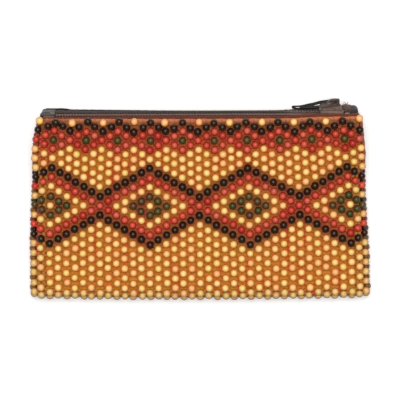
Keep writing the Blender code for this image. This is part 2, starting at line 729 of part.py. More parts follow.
def build():
    clear_scene()
    cream = material("cream_beads", 250, 218, 150, 0.25)
    red = material("red_beads", 200, 70, 45, 0.25)
    black = material("black_beads", 40, 28, 22, 0.2)
    green = material("green_beads", 84, 70, 38, 0.22)
    cloth = material("pouch_cloth", 204, 110, 66, 0.9)
    strip = material("side_strip_cloth", 92, 48, 38, 0.9)
    tape = material("tape_weave", 96, 76, 70, 0.9)
    coil = material("coil_nylon", 84, 78, 76, 0.45)
    bronze = material("dark_bronze", 82, 66, 58, 0.4, 0.8)
    beads = [cream, red, black, green]
    front_rows = evenly(0, OPEN_ROW, OPEN_LINING_ROWS) + evenly(OPEN_ROW, LACED_ROW, BEND_LINING_ROWS)[1:]
    front_rows += evenly(LACED_ROW, LAST_ROW, LACED_LINING_ROWS)[1:]
    bead_net("front_bead_net", front_point, LAST_ROW + FOLD_ROWS, front_rows, beads)
    bead_net("back_bead_net", back_point, LAST_ROW, (0, OPEN_ROW, LACED_ROW, LAST_ROW), beads)
    cloth_pouch(cloth)
    side_strip("left_side_strip", -1, strip)
    side_strip("right_side_strip", 1, strip)

    zip_line = add_empty("zip_line", (0, ZIP_Y, ZIP_Z), (ZIP_TILT - math.pi / 2, 0, 0))
    zip_tape("front_zip_tape", -1, tape, zip_line)
    zip_tape("back_zip_tape", 1, tape, zip_line)
    zip_coil("front_zip_coil", -1, coil, zip_line)
    zip_coil("back_zip_coil", 1, coil, zip_line)
    top_stop("front_top_stop", -1, bronze, zip_line)
    top_stop("back_top_stop", 1, bronze, zip_line)
    bottom_stop(bronze, zip_line)

    slider = add_empty("slider_carriage", (SLIDER_CLOSED, 0, 0), (0, 0, 0), zip_line)
    slider_body(bronze, slider)
    hinge = add_empty("pull_hinge", (PIVOT_OFFSET, 0, PIVOT_LEVEL), (0, -PULL_REST, 0), slider)
    slider_pull(bronze, hinge)

    purse = add_empty("purse", (0, -(TOP_Y + BOTTOM_Y) / 2, 0), (0, 0, 0))
    for thing in bpy.context.scene.objects:
        if thing.parent is None and thing is not purse:
            thing.parent = purse


build()
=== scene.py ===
"""Looks of the zip coin purse of threaded beads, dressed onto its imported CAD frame.

Metres, +Z up. The purse lies on its back, with the front net of beads up, +X runs along the zip
and +Y points out of the mouth.
"""

import json
import random
from contextlib import contextmanager
from math import copysign, cos, exp, floor, pi, radians, sin, sqrt, tau

import bmesh
import bpy
from mathutils import Matrix, Vector


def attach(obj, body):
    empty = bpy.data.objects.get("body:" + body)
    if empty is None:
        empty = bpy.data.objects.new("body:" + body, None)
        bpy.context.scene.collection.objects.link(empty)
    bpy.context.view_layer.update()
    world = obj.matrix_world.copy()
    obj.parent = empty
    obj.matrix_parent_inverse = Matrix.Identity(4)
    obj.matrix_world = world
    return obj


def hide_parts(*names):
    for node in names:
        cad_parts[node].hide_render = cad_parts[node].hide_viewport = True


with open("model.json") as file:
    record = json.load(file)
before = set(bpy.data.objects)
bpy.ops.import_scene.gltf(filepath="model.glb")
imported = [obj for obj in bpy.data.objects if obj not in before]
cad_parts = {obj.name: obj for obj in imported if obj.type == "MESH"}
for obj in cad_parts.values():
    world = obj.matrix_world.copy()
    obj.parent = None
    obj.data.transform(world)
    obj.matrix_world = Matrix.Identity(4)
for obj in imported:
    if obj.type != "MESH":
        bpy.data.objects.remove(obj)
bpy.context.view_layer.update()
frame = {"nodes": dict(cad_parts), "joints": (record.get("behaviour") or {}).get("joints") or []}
scene = bpy.context.scene
scene.view_settings.view_transform = "Standard"

# The net of beads, as in the CAD: odd rows sit between the beads of the even rows
LAST_COLUMN = 40
LAST_ROW = 36
FOLD_ROWS = 3
MIDDLE_COLUMN = LAST_COLUMN / 2
MIDDLE_ROW = LAST_ROW / 2
ROW_STEP = 0.0020
ROW_SPREAD = 0.0007
ROW_SAG = 0.0007
HALF_WIDTH = 0.0701
SIDE_TAPER = 0.0020
SIDE_BULGE = 0.0013
BEAD_RADIUS = 0.0017
COLUMN_STEP = HALF_WIDTH / MIDDLE_COLUMN
FRONT_SIDE_TURN = radians(60.0)
BACK_SIDE_TURN = radians(40.0)
LEAST_TURN = radians(1.0)
OPEN_ROW = 7
LACED_ROW = 17
LACED_MARGIN = 0.0005
THICKNESS = 0.0089
MOUTH_RISE = 0.00809
RISE_START = -0.024
MOUTH_Y = 0.03656
FOLD_TURN = radians(45.0)
FOLD_REACH = 0.0013
FOLD_HALF_HEIGHT = 0.00275
NET_LEAN = 0.00039
NET_BOW = 0.00032
RIGHT_TUCK = 0.0009
TUCK_BY_ROW = ((0.35, 1, 3), (0.65, 6, 15), (-0.42, 22, 29))
LEFT_REACH = 0.0004
LEFT_REACH_ROWS = (12, 17)
TOP_REACH = 0.0006
TOP_REACH_ROWS = (1, 3)
TOP_REACH_END = 11
DRAWN_RIGHT = 2
DRAWN_LEFT = 2.5
BACK_SPREAD = 0.0005

# Pattern of the beads, by the distance from the middle of the diamond that a bead belongs to
CREAM, RED, BLACK, GREEN = "cream", "red", "black", "green"
DIAMOND_PITCH = 12
DIAMOND_OFFSET = 4
DIAMOND_RINGS = {0: CREAM, 2: GREEN, 4: CREAM, 6: RED, 8: BLACK}
SMALL_PITCH = 4
SMALL_ROW = 4
SMALL_RINGS = {0: GREEN, 2: RED, 4: BLACK}

# Cloth
POUCH_DEPTH = 0.00375
CLOTH_THICKNESS = 0.0005
POUCH_INSET = 0.0010
POUCH_FLARE = 0.0042
POUCH_LIFT = 0.0010
HEM_DROP = 0.0006
STRIP_GAP = 0.0003
STRIP_WIDTH = 0.0012
STRIP_DEPTH = 0.0035
STRIP_ROUND = 0.0004
STRIP_THICKNESS = 0.00035
CAD_SIDE_TURN = radians(73.0)

# Zip, in its own frame: x along the teeth, y from front to back, z out of the purse
ZIP_TILT = radians(20.0)
ZIP_MODEL_Y = 0.0380
ZIP_HALF_WIDTH = 0.0042
ZIP_HALF_LENGTH = 0.0668
TAPE_THICKNESS = 0.0005
TAPE_EDGE = 0.0009
TAPE_CORNER = 0.0012
TAPE_DEPTH = 0.00455
TAPE_FLANGE = 0.0070
TAPE_GAP = 0.00015
COIL_LOW = 0.00055
COIL_HIGH = {-1: 0.0016, 1: 0.00215}
CHAIN_HALF_WIDTH = 0.00215
CHANNEL_HALF = 0.00055
TOOTH_PITCH = 0.0012
COIL_END = 0.0608
LOW_CURL = 0.0008
LEFT_CURL = 0.00085
FLAT_CURL = 0.00055
HIGH_CURL = 0.0016
FRONT_END = 0.0674
LEFT_CUT = 0.0611
RIGHT_CUT = 0.0636

zip_joint, swing_joint = [next(joint for joint in frame["joints"] if joint["name"] == name)
                          for name in ("slider_travel", "pull_swing")]
ZIP_Y, ZIP_Z = zip_joint["pos_m"][1:]
PURSE_SHIFT = ZIP_Y - ZIP_MODEL_Y
ZIP_FRAME = Matrix((
    (1, 0, 0, 0),
    (0, sin(ZIP_TILT), cos(ZIP_TILT), ZIP_Y),
    (0, -cos(ZIP_TILT), sin(ZIP_TILT), ZIP_Z),
    (0, 0, 0, 1),
))


# ---- Camera, straight above the purse ----
bpy.ops.object.select_all(action="DESELECT")
bpy.ops.object.camera_add(location=(-0.00004, -0.00015, 1.21), rotation=(0, 0, radians(-0.17)))
camera = bpy.context.object
camera.data.lens = 256.4
camera.data.sensor_width = 36
scene.camera = camera


# ---- The shape of the net ----
def evenly(first, last, count):
    return [first + (last - first) * step / (count - 1) for step in range(count)]


def between(value, low, high):
    """From 0 below the low value to 1 above the high one, easing in and out."""
    share = max(0.0, min(1.0, (value - low) / (high - low)))
    return share * share * (3 - 2 * share)


def in_purse(x, y, z):
    return Vector((x, y + PURSE_SHIFT, z))


def on_zip(x, across, up):
    return ZIP_FRAME @ Vector((x, across, up))


def half_width(down):
    return HALF_WIDTH + SIDE_TAPER * down - SIDE_BULGE * down * down


def lacing(row):
    """From 0 where the sides stand open near the mouth to 1 where front and back are laced."""
    return between(row, OPEN_ROW, LACED_ROW)


def row_at(y):
    return MIDDLE_ROW - y / ROW_STEP


def inner_column_at(y):
    return half_width(row_at(y) / MIDDLE_ROW - 1) * (MIDDLE_COLUMN - 1) / MIDDLE_COLUMN


def net_point(column, row):
    across = (column - MIDDLE_COLUMN) / MIDDLE_COLUMN
    down = (row - MIDDLE_ROW) / MIDDLE_ROW
    y = ROW_SAG * across * across - ROW_STEP * (row - MIDDLE_ROW) - ROW_SPREAD * down * down
    return across * half_width(down), y


def curled_point(column, row, depth, side_turn):
    """Place of a point of the net with its end columns bent in, and its level under the crowns."""
    flat_row = min(row, LAST_ROW)
    side = copysign(1.0, column - MIDDLE_COLUMN)
    past = abs(column - MIDDLE_COLUMN) - (MIDDLE_COLUMN - 1)
    x, y = net_point(column, flat_row)
    if past <= 0:
        return x, y, depth
    laced = lacing(flat_row)
    room = (BEAD_RADIUS * (1 - laced) + LACED_MARGIN * laced) / COLUMN_STEP
    turn = max(LEAST_TURN, side_turn * laced)
    angle = turn * min(past, 1 + room)
    reach = COLUMN_STEP / turn + BEAD_RADIUS - depth
    bend_start = net_point(MIDDLE_COLUMN + side * (MIDDLE_COLUMN - 1), flat_row)[0]
    return bend_start + side * reach * sin(angle), y, depth + reach * (1 - cos(angle))


def front_height(y):
    share = max(0.0, (y - RISE_START) / (MOUTH_Y - RISE_START))
    return THICKNESS + MOUTH_RISE * share * share


def eased(column, row, x):
    """The slight lean and bow that the real net has in its plane. The lacing draws the last columns
    in on the right and lets the first ones out on the left."""
    across = (column - MIDDLE_COLUMN) / MIDDLE_COLUMN
    down = (min(row, LAST_ROW) - MIDDLE_ROW) / MIDDLE_ROW
    tuck = sum(weight * between(row, low, high) for weight, low, high in TUCK_BY_ROW)
    reach = LEFT_REACH * between(row, *LEFT_REACH_ROWS)
    reach += TOP_REACH * between(row, *TOP_REACH_ROWS) * between(TOP_REACH_END - row, 0, 4)
    drawn = RIGHT_TUCK * tuck * between(column, LAST_COLUMN - DRAWN_RIGHT, LAST_COLUMN)
    drawn += reach * between(DRAWN_LEFT - column, 0, DRAWN_LEFT)
    return x + NET_LEAN * down + NET_BOW * (across * across - 1) - drawn


def front_point(column, row, depth):
    x, y, level = curled_point(column, row, depth, FRONT_SIDE_TURN)
    x = eased(column, row, x)
    if row <= LAST_ROW:
        return in_purse(x, y, front_height(y) - level)
    turn = FOLD_TURN * (row - LAST_ROW)
    share = (THICKNESS / 2 - level) / (THICKNESS / 2 - BEAD_RADIUS)
    up = THICKNESS / 2 + share * FOLD_HALF_HEIGHT * cos(turn)
    return in_purse(x, y - share * FOLD_REACH * sin(turn), up)


def back_point(column, row, depth):
    x, y, level = curled_point(column, row, depth, BACK_SIDE_TURN)
    spread = BACK_SPREAD * (1 - lacing(row)) * (column - MIDDLE_COLUMN) / MIDDLE_COLUMN
    return in_purse(eased(column, row, x) + spread, y, level)


def bead_colour(column, row):
    across = abs((column + DIAMOND_OFFSET) % DIAMOND_PITCH - DIAMOND_PITCH / 2)
    ring = across + abs(row - MIDDLE_ROW)
    if ring in DIAMOND_RINGS:
        return DIAMOND_RINGS[ring]
    small_ring = abs(column % SMALL_PITCH - SMALL_PITCH / 2) + abs(row - SMALL_ROW)
    finish = SMALL_RINGS.get(small_ring, CREAM)
    return CREAM if finish == BLACK and row >= SMALL_ROW else finish


# How much painted shade (next to dark beads) and painted red reflection (next to red beads) the
# thread and cloth near them get
BEAD_SHADE_AND_BOUNCE = {
    "tone_and_shade": {CREAM: 0.0, RED: 0.0, BLACK: 0.95, GREEN: 0.85},
    "red_bounce": {CREAM: 0.0, RED: 0.9, BLACK: 0.1, GREEN: 0.0},
}


def bounce_near(column, row, bounce_shares):
    """One of these painted tones at a place, by the nearness of the beads around it."""
    total = weight = 0.0
    for near_row in range(max(0, floor(row) - 1), floor(row) + 3):
        for near_column in range(floor(column) - 1, floor(column) + 3):
            if (near_row + near_column) % 2 or not 0 <= near_column <= LAST_COLUMN:
                continue
            nearness = exp(-((near_column - column) ** 2 + 0.33 * (near_row - row) ** 2))
            total += nearness * bounce_shares[bead_colour(near_column, near_row)]
            weight += nearness
    return total / weight if weight else 0.0


# ---- Node helpers ----
def colour(red, green, blue):
    """A colour as it looks, from 0 to 255, as the shader takes it."""
    shares = [part / 255 for part in (red, green, blue)]
    return (*[share / 12.92 if share <= 0.04045 else ((share + 0.055) / 1.055) ** 2.4
              for share in shares], 1.0)


def fill(tree, sockets, values):
    """Link sockets to others or set their values. A list is a colour as it looks."""
    for key, value in values.items():
        if isinstance(value, bpy.types.NodeSocket):
            tree.links.new(value, sockets[key])
        else:
            sockets[key].default_value = colour(*value) if isinstance(value, list) else value


def node(tree, kind, inputs=None, **settings):
    """The outputs of a new node."""
    made = tree.nodes.new("ShaderNode" + kind)
    for name, value in settings.items():
        setattr(made, name, value)
    fill(tree, made.inputs, inputs or {})
    return made.outputs


def sums(tree, operation, first, second=0.0, third=0.0):
    return node(tree, "Math", {0: first, 1: second, 2: third}, operation=operation)[0]


def mixed(tree, share, first, second):
    return node(tree, "Mix", {0: share, 6: first, 7: second}, data_type="RGBA")[2]


def eased_step(tree, value, low, high):
    return node(tree, "MapRange", {0: value, 1: low, 2: high, 3: 0.0, 4: 1.0},
                interpolation_type="SMOOTHSTEP")[0]


def object_place(tree, *scale):
    """A point's own place on the piece, or that place stretched."""
    place = node(tree, "TexCoord")["Object"]
    return node(tree, "Mapping", {"Vector": place, "Scale": scale})[0] if scale else place


def noise(tree, place, scale, detail=3.0):
    return node(tree, "TexNoise", {
        "Vector": place, "Scale": scale, "Detail": detail, "Roughness": 0.55})["Fac"]


def attribute(tree, name):
    return node(tree, "Attribute", attribute_name=name)["Fac"]


def new_group(name, inputs, outputs):
    """A shader node group. An input is a colour, unless its value is a plain number."""
    tree = bpy.data.node_groups.new(name, "ShaderNodeTree")
    for label, value in inputs.items():
        kind = "Float" if isinstance(value, float) else "Color"
        socket = tree.interface.new_socket(label, in_out="INPUT", socket_type="NodeSocket" + kind)
        if value is not None:
            socket.default_value = value
    for label in outputs:
        kind = "Color" if label == "Colour" else "Float"
        tree.interface.new_socket(label, in_out="OUTPUT", socket_type="NodeSocket" + kind)
    return tree, tree.nodes.new("NodeGroupInput").outputs, tree.nodes.new("NodeGroupOutput").inputs


# ---- Finishes that more than one material uses ----
# Painted shade for beads that turn away from the light: a dull tone for their crowns and a deep one
# for their flanks
PALE_TURNED_SHADE = [176, 128, 72]
DEEP_TURNED_SHADE = [104, 78, 40]


def make_bead_finish():
    """Colour of a resin bead, with painted light and shade: pale where it faces out of the flat
    side, deep amber on its flanks as painted shade with painted reflection of the orange cloth,
    each bead a bit different.
    """
    tree, given, out = new_group(
        "bead_finish", {"Lit Crown": None, "Shaded Flank": None, "Warm": None, "Cool": None,
                        "Edge Low": 0.3, "Edge High": 0.8}, ("Colour", "Roughness", "Height"))
    lit_crown, tint, turned_shade = [attribute(tree, name) for name in ("lit_crown", "tint", "turned_shade")]
    speckle, wear = [noise(tree, object_place(tree), scale) for scale in (900.0, 260.0)]
    warm = sums(tree, "MAXIMUM", tint)
    cool = sums(tree, "MAXIMUM", sums(tree, "MULTIPLY", tint, -1.0))
    body = mixed(tree, cool, mixed(tree, warm, given["Lit Crown"], given["Warm"]), given["Cool"])
    body = mixed(tree, sums(tree, "MULTIPLY", turned_shade, 0.42), body, PALE_TURNED_SHADE)
    shaded_flank = mixed(tree, turned_shade, given["Shaded Flank"], DEEP_TURNED_SHADE)
    uneven = sums(tree, "MULTIPLY_ADD", speckle, 0.24, lit_crown)
    rise = eased_step(tree, uneven, given["Edge Low"], given["Edge High"])
    fill(tree, out, {
        "Colour": mixed(tree, rise, shaded_flank, body),
        "Roughness": sums(tree, "MULTIPLY_ADD", wear, 0.18, 0.16),
        "Height": sums(tree, "MULTIPLY_ADD", wear, 0.6, speckle)})
    return tree


def make_plain_weave():
    """Plain weave on the piece's own UV map, which is in metres along the threads."""
    tree, given, out = new_group(
        "plain_weave", {"Thread Pitch": 0.0004, "Warp": None, "Weft": None, "Groove": None},
        ("Colour", "Height"))
    split = node(tree, "SeparateXYZ", {0: node(tree, "UVMap", uv_map="weave")[0]})
    counts = [sums(tree, "DIVIDE", split[axis], given["Thread Pitch"]) for axis in (0, 1)]
    waves = [sums(tree, "ABSOLUTE", sums(tree, "SINE", sums(tree, "MULTIPLY", count, pi)))
             for count in counts]
    floors = [sums(tree, "FLOOR", count) for count in counts]
    checker = sums(tree, "PINGPONG", sums(tree, "ADD", *floors), 1.0)
    height = node(tree, "Mix", {0: checker, 2: waves[0], 3: waves[1]})[0]
    thread = mixed(tree, checker, given["Warp"], given["Weft"])
    rise = eased_step(tree, height, 0.05, 0.7)
    fill(tree, out, {"Colour": mixed(tree, rise, given["Groove"], thread), "Height": height})
    return tree


def make_drift_bounce_group():
    """Slow change of a colour over the piece, in streaks along Y, then painted red reflection and
    painted shade from values kept on the vertices; on the coil that value gives a paler tone.
    """
    tree, given, out = new_group(
        "dye_drift_and_bounce", {"Colour": None, "Drift": None, "Amount": 0.5, "Tone And Shade": None,
                      "Red Bounce": None}, ("Colour",))
    streaks = noise(tree, object_place(tree, 1.0, 0.14, 1.0), 230.0, 2.0)
    share = sums(tree, "MULTIPLY", eased_step(tree, streaks, 0.54, 0.64), given["Amount"])
    drifted = mixed(tree, share, given["Colour"], given["Drift"])
    drifted = mixed(tree, attribute(tree, "red_bounce"), drifted, given["Red Bounce"])
    fill(tree, out, {"Colour": mixed(tree, attribute(tree, "tone_and_shade"), drifted, given["Tone And Shade"])})
    return tree


def make_metal_wear():
    """Plated metal whose edges are rubbed bright, with patches of grime laid by noise."""
    tree, given, out = new_group(
        "metal_wear", {"Plating": None, "Rubbed": None, "Grime": None},
        ("Colour", "Roughness", "Height"))
    patches = noise(tree, object_place(tree), 420.0)
    fine = noise(tree, object_place(tree, 0.25, 1.0, 1.0), 2600.0, 2.0)
    worn = sums(tree, "MULTIPLY_ADD", patches, 0.9, attribute(tree, "edge"))
    base = mixed(tree, eased_step(tree, patches, 0.35, 0.62), given["Grime"], given["Plating"])
    fill(tree, out, {
        "Colour": mixed(tree, eased_step(tree, worn, 0.75, 1.35), base, given["Rubbed"]),
        "Roughness": sums(tree, "MULTIPLY_ADD", patches, -0.25, 0.55),
        "Height": sums(tree, "MULTIPLY_ADD", fine, 0.35, patches)})
    return tree


BEAD_FINISH = make_bead_finish()
PLAIN_WEAVE = make_plain_weave()
DRIFT_BOUNCE_GROUP = make_drift_bounce_group()
METAL_WEAR = make_metal_wear()
BEAD_SHINE_TINT = (0.92, 0.64, 0.43, 1.0)
# Painted shade next to dark beads and painted red reflection next to red beads, on the thread and
# cloth
DARK_BEAD_SHADE = [122, 60, 46]
RED_BOUNCE = [208, 62, 42]
COIL_PALE_TONE = [128, 106, 98]
POUCH_PITCH = 0.00042
STRIP_PITCH = 0.00036
TAPE_PITCH = 0.00032


# ---- Materials ----
def new_material(name):
    material = bpy.data.materials.new(name)
    material.use_nodes = True
    return material, material.node_tree, material.node_tree.nodes["Principled BSDF"].inputs


def dressed(tree, shader, values, height, strength, distance):
    """Fill the shader's sockets and give its surface a fine relief."""
    relief = node(tree, "Bump", {"Height": height, "Strength": strength, "Distance": distance})
    fill(tree, shader, {**values, "Normal": relief[0]})


def bead_material(name, lit_crown, shaded_flank, warm, cool):
    material, tree, shader = new_material(name)
    made = node(tree, "Group", {
        "Lit Crown": lit_crown, "Shaded Flank": shaded_flank, "Warm": warm, "Cool": cool, "Edge Low": 0.28,
        "Edge High": 1.18}, node_tree=BEAD_FINISH)
    dressed(tree, shader, {
        "Base Color": made["Colour"], "Roughness": made["Roughness"],
        "Specular Tint": BEAD_SHINE_TINT}, made["Height"], 0.25, 0.00006)
    return material


def with_drift_and_bounce(tree, base, drift, amount, tone_and_shade):
    return node(tree, "Group", {"Colour": base, "Drift": drift, "Amount": amount, "Tone And Shade": tone_and_shade,
                                "Red Bounce": RED_BOUNCE}, node_tree=DRIFT_BOUNCE_GROUP)["Colour"]


def cloth_material(name, warp, weft, groove, drift, amount, pitch=TAPE_PITCH, sheen=0.1):
    material, tree, shader = new_material(name)
    weave = node(tree, "Group", {
        "Thread Pitch": pitch, "Warp": warp, "Weft": weft, "Groove": groove}, node_tree=PLAIN_WEAVE)
    dressed(tree, shader, {
        "Base Color": with_drift_and_bounce(tree, weave["Colour"], drift, amount, DARK_BEAD_SHADE), "Roughness": 0.85,
        "Sheen Weight": sheen}, weave["Height"], 0.7, pitch * 0.35)
    return material


def thread_material(name, base, drift, amount, tone_and_shade=DARK_BEAD_SHADE):
    """Spun thread, twisted round its own length by a fine noise."""
    material, tree, shader = new_material(name)
    dressed(tree, shader, {"Base Color": with_drift_and_bounce(tree, base, drift, amount, tone_and_shade), "Roughness": 0.75},
            noise(tree, object_place(tree), 5200.0, 1.0), 0.5, 0.00008)
    return material


def nylon_material(name, base, drift):
    material, tree, shader = new_material(name)
    dressed(tree, shader, {
        "Base Color": with_drift_and_bounce(tree, base, drift, 0.8, COIL_PALE_TONE), "Roughness": 0.42},
        noise(tree, object_place(tree), 3000.0, 2.0), 0.2, 0.00003)
    return material


def metal_material(name, plating, rubbed, turned_shade, shine):
    material, tree, shader = new_material(name)
    worn = node(tree, "Group", {"Plating": plating, "Rubbed": rubbed, "Grime": turned_shade},
                node_tree=METAL_WEAR)
    dressed(tree, shader, {
        "Base Color": worn["Colour"], "Roughness": worn["Roughness"], "Metallic": 0.4,
        "Specular IOR Level": shine}, worn["Height"], 0.25, 0.00005)
    return material


# The second colour of each bead is painted shade on its flanks, with painted reflection of the
# orange cloth.
BEADS = {
    CREAM: bead_material("cream_resin", [255, 221, 145], [225, 120, 12], [250, 186, 128],
                         [240, 214, 124]),
    RED: bead_material("red_resin", [212, 78, 62], [146, 26, 8], [212, 98, 80], [180, 44, 42]),
    BLACK: bead_material("black_resin", [28, 18, 14], [36, 10, 3], [42, 22, 18], [18, 26, 24]),
    GREEN: bead_material("olive_resin", [80, 78, 38], [62, 34, 6], [84, 60, 42], [50, 66, 34]),
}
THREAD = thread_material("net_thread", [182, 114, 10], [200, 60, 18], 0.9)
LACING_THREAD = thread_material("lacing_thread", [122, 76, 40], [110, 52, 34], 0.8)
FILL_THREAD = thread_material("side_filling_thread", [178, 116, 34], [176, 76, 30], 0.8)
# The fold filling is a darker copy of the side filling: painted shade at the fold.
FOLD_SHADE_THREAD = thread_material("fold_shade_filling_thread", [146, 86, 14], [136, 62, 14], 0.8)
EDGE_CORD = thread_material("edge_cord", [88, 74, 66], [112, 84, 68], 0.7)
HEM_THREAD = thread_material("hem_thread", [188, 100, 70], [180, 76, 50], 0.6)
FIBRE = thread_material("loose_fibre", [134, 104, 92], [98, 74, 64], 0.8)
EDGE_THREAD = thread_material("tape_edge_thread", [48, 44, 44], [36, 30, 30], 0.8)
DARK_THREAD = thread_material("dark_thread_end", [16, 10, 12], [12, 8, 8], 0.8)
# One coil in two copies: the front half lighter, painted light, the back half darker, painted
# shade.
COIL_CORD = {-1: thread_material("front_coil_cord", [124, 96, 90], [124, 86, 76], 0.7, COIL_PALE_TONE),
             1: thread_material("back_coil_cord", [76, 66, 62], [66, 52, 48], 0.7, COIL_PALE_TONE)}
COIL_NYLON = {-1: nylon_material("front_coil_lit_nylon", [98, 78, 72], [112, 84, 76]),
              1: nylon_material("back_coil_shade_nylon", [60, 56, 54], [70, 60, 56])}

# The tape cloth comes in copies that stand in for light and shade: the zip tape's red-brown is
# partly its own colour and partly painted reflection of the orange cloth; the front pleat's dark
# red is painted shade; the pale grey tucked tape is painted light on faces turned to the lamp; the
# dark grey tape ends are painted shade.
POUCH_CLOTH, HEM_CLOTH, STRIP_CLOTH, TAPE_CLOTH, PLEAT_SHADE_CLOTH, TAPE_END_SHADE_CLOTH, LIT_TAPE_CLOTH, CUT_CLOTH = [
    cloth_material(*values) for values in (
        ("pouch_weave", [238, 162, 48], [228, 146, 40], [176, 90, 20], [222, 74, 24], 0.6,
         POUCH_PITCH, 0.15),
        ("hem_weave", [220, 140, 88], [207, 121, 71], [158, 74, 43], [226, 84, 36], 0.6,
         POUCH_PITCH, 0.15),
        ("strip_weave", [170, 92, 50], [154, 79, 44], [96, 44, 25], [176, 90, 44], 0.5,
         STRIP_PITCH),
        ("zip_tape_weave", [150, 88, 68], [136, 78, 60], [90, 46, 34], [150, 74, 52], 0.6),
        ("front_pleat_shade_weave", [122, 56, 32], [110, 50, 28], [72, 28, 16], [128, 44, 26], 0.6),
        ("tape_end_shade_weave", [67, 66, 66], [55, 54, 54], [30, 28, 28], [84, 66, 58], 0.7),
        ("lit_tape_weave", [116, 111, 108], [102, 97, 94], [60, 56, 54], [120, 88, 62], 0.7),
        ("cut_tape_weave", [104, 78, 68], [90, 66, 58], [48, 34, 30], [92, 66, 56], 0.7))]

BRONZE = metal_material("dark_bronze", [70, 56, 51], [112, 94, 84], [36, 26, 23], 0.3)
# Copies of the dark bronze stand in for light and shade: the next one is darker, painted shade on
# the slider's top faces; the two after it are lighter, painted light on the lock and the bridge
# base, which sit in shade.
TOP_SHADE_BRONZE = metal_material("top_shade_bronze", [58, 48, 46], [84, 72, 68], [32, 24, 22], 0.12)
SHADE_LIFTED_BRONZE = metal_material("shade_lifted_bronze", [108, 92, 86], [128, 113, 106], [70, 57, 53], 0.16)
LIT_BRONZE = metal_material("lit_bronze", [112, 92, 82], [140, 118, 106], [84, 68, 60], 0.3)
CLIP = metal_material("worn_clip", [112, 104, 96], [146, 136, 124], [76, 66, 58], 0.35)
BLACKENED = metal_material("blackened_bronze", [9, 6, 6], [92, 76, 68], [3, 2, 2], 0.02)


# ---- Making pieces ----
def choose(*pieces):
    """Leave edit mode, with only these pieces selected and the last of them active."""
    if bpy.context.object and bpy.context.object.mode != "OBJECT":
        bpy.ops.object.mode_set(mode="OBJECT")
    bpy.ops.object.select_all(action="DESELECT")
    for piece in pieces:
        piece.select_set(True)
        bpy.context.view_layer.objects.active = piece


def resize_where(blank, test, value):
    """Resize only those vertices of a blank that pass the test, in edit mode."""
    choose(blank)
    bpy.ops.object.mode_set(mode="EDIT")
    bpy.ops.mesh.select_mode(type="VERT")
    bpy.ops.mesh.select_all(action="DESELECT")
    mesh = bmesh.from_edit_mesh(blank.data)
    for vertex in mesh.verts:
        vertex.select = bool(test(vertex.co))
    mesh.select_flush_mode()
    bmesh.update_edit_mesh(blank.data)
    bpy.ops.transform.resize(value=value)
    choose()


def new_blank(name):
    """The primitive that was just added, with its place put into its mesh."""
    blank = bpy.context.object
    blank.name = name
    bpy.context.view_layer.update()
    blank.data.transform(blank.matrix_world)
    blank.matrix_world = Matrix.Identity(4)
    return blank


def piece_from(name, points, faces, material, smooth=True):
    mesh = bpy.data.meshes.new(name)
    mesh.from_pydata([tuple(point) for point in points], [], faces)
    mesh.validate()
    for polygon in mesh.polygons:
        polygon.use_smooth = smooth
    mesh.materials.append(material)
    piece = bpy.data.objects.new(name, mesh)
    scene.collection.objects.link(piece)
    return piece


@contextmanager
def edited(piece, source=None):
    """The mesh of a piece, or of the source, for changes that go back into the piece."""
    mesh = bmesh.new()
    mesh.from_mesh((source or piece).data)
    yield mesh
    mesh.to_mesh(piece.data)
    mesh.free()


def outward(piece):
    with edited(piece) as mesh:
        bmesh.ops.recalc_face_normals(mesh, faces=mesh.faces)


def with_modifier(piece, kind, **settings):
    choose(piece)
    made = piece.modifiers.new(kind.lower(), kind)
    for name, value in settings.items():
        setattr(made, name, value)
    bpy.ops.object.modifier_apply(modifier=made.name)


def values_on(piece, label, values):
    """Keep a value on each vertex, for the materials."""
    piece.data.attributes.new(label, "FLOAT", "POINT").data.foreach_set("value", values)


def weave_map(piece, place_of):
    """A UV map in metres along the threads, by the number of each vertex."""
    layer = piece.data.uv_layers.new(name="weave")
    for loop in piece.data.loops:
        layer.data[loop.index].uv = place_of(loop.vertex_index)


def placed(piece, body, slot, *nodes):
    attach(piece, body)
    if nodes:
        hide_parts(*nodes)
    return piece


def repeated(name, blank, places, material):
    """Copies of a small mesh, one for each placing matrix."""
    corners = [vertex.co.copy() for vertex in blank.data.vertices]
    blank_faces = [tuple(polygon.vertices) for polygon in blank.data.polygons]
    points = []
    faces = []
    for place in places:
        start = len(points)
        points += [place @ corner for corner in corners]
        faces += [tuple(start + index for index in face) for face in blank_faces]
    return piece_from(name, points, faces, material)


def ring_faces(start, sides, rings, closed=True):
    """The faces between rings of points that follow each other, and over both ends if closed."""
    faces = []
    for ring in range(rings - 1):
        low = start + ring * sides
        for step in range(sides):
            after = (step + 1) % sides
            faces.append((low + step, low + after, low + after + sides, low + step + sides))
    if closed:
        last = start + (rings - 1) * sides
        faces += [tuple(range(start, start + sides))[::-1], tuple(range(last, last + sides))]
    return faces


def tube(points, faces, line, radius, sides):
    """Add a round tube along a line of points, closed at both ends."""
    start = len(points)
    for index, point in enumerate(line):
        along = (line[min(index + 1, len(line) - 1)] - line[max(index - 1, 0)]).normalized()
        across = along.cross(Vector((0, 0, 1)))
        if across.length < 1e-6:
            across = along.cross(Vector((1, 0, 0)))
        across.normalize()
        rise = across.cross(along)
        for step in range(sides):
            angle = tau * step / sides
            points.append(point + (across * cos(angle) + rise * sin(angle)) * radius)
    faces += ring_faces(start, sides, len(line))


def cords(name, material, slot, tubes, *nodes):
    """One piece of tubes, each given as its line, radius and number of sides."""
    points = []
    faces = []
    for line, radius, sides in tubes:
        tube(points, faces, line, radius, sides)
    piece = piece_from(name, points, faces, material)
    outward(piece)
    return placed(piece, "purse", slot, *nodes)


# ---- One bead, modelled once ----
DRILLED_END = 0.98
DRILL_PRESS = 0.78

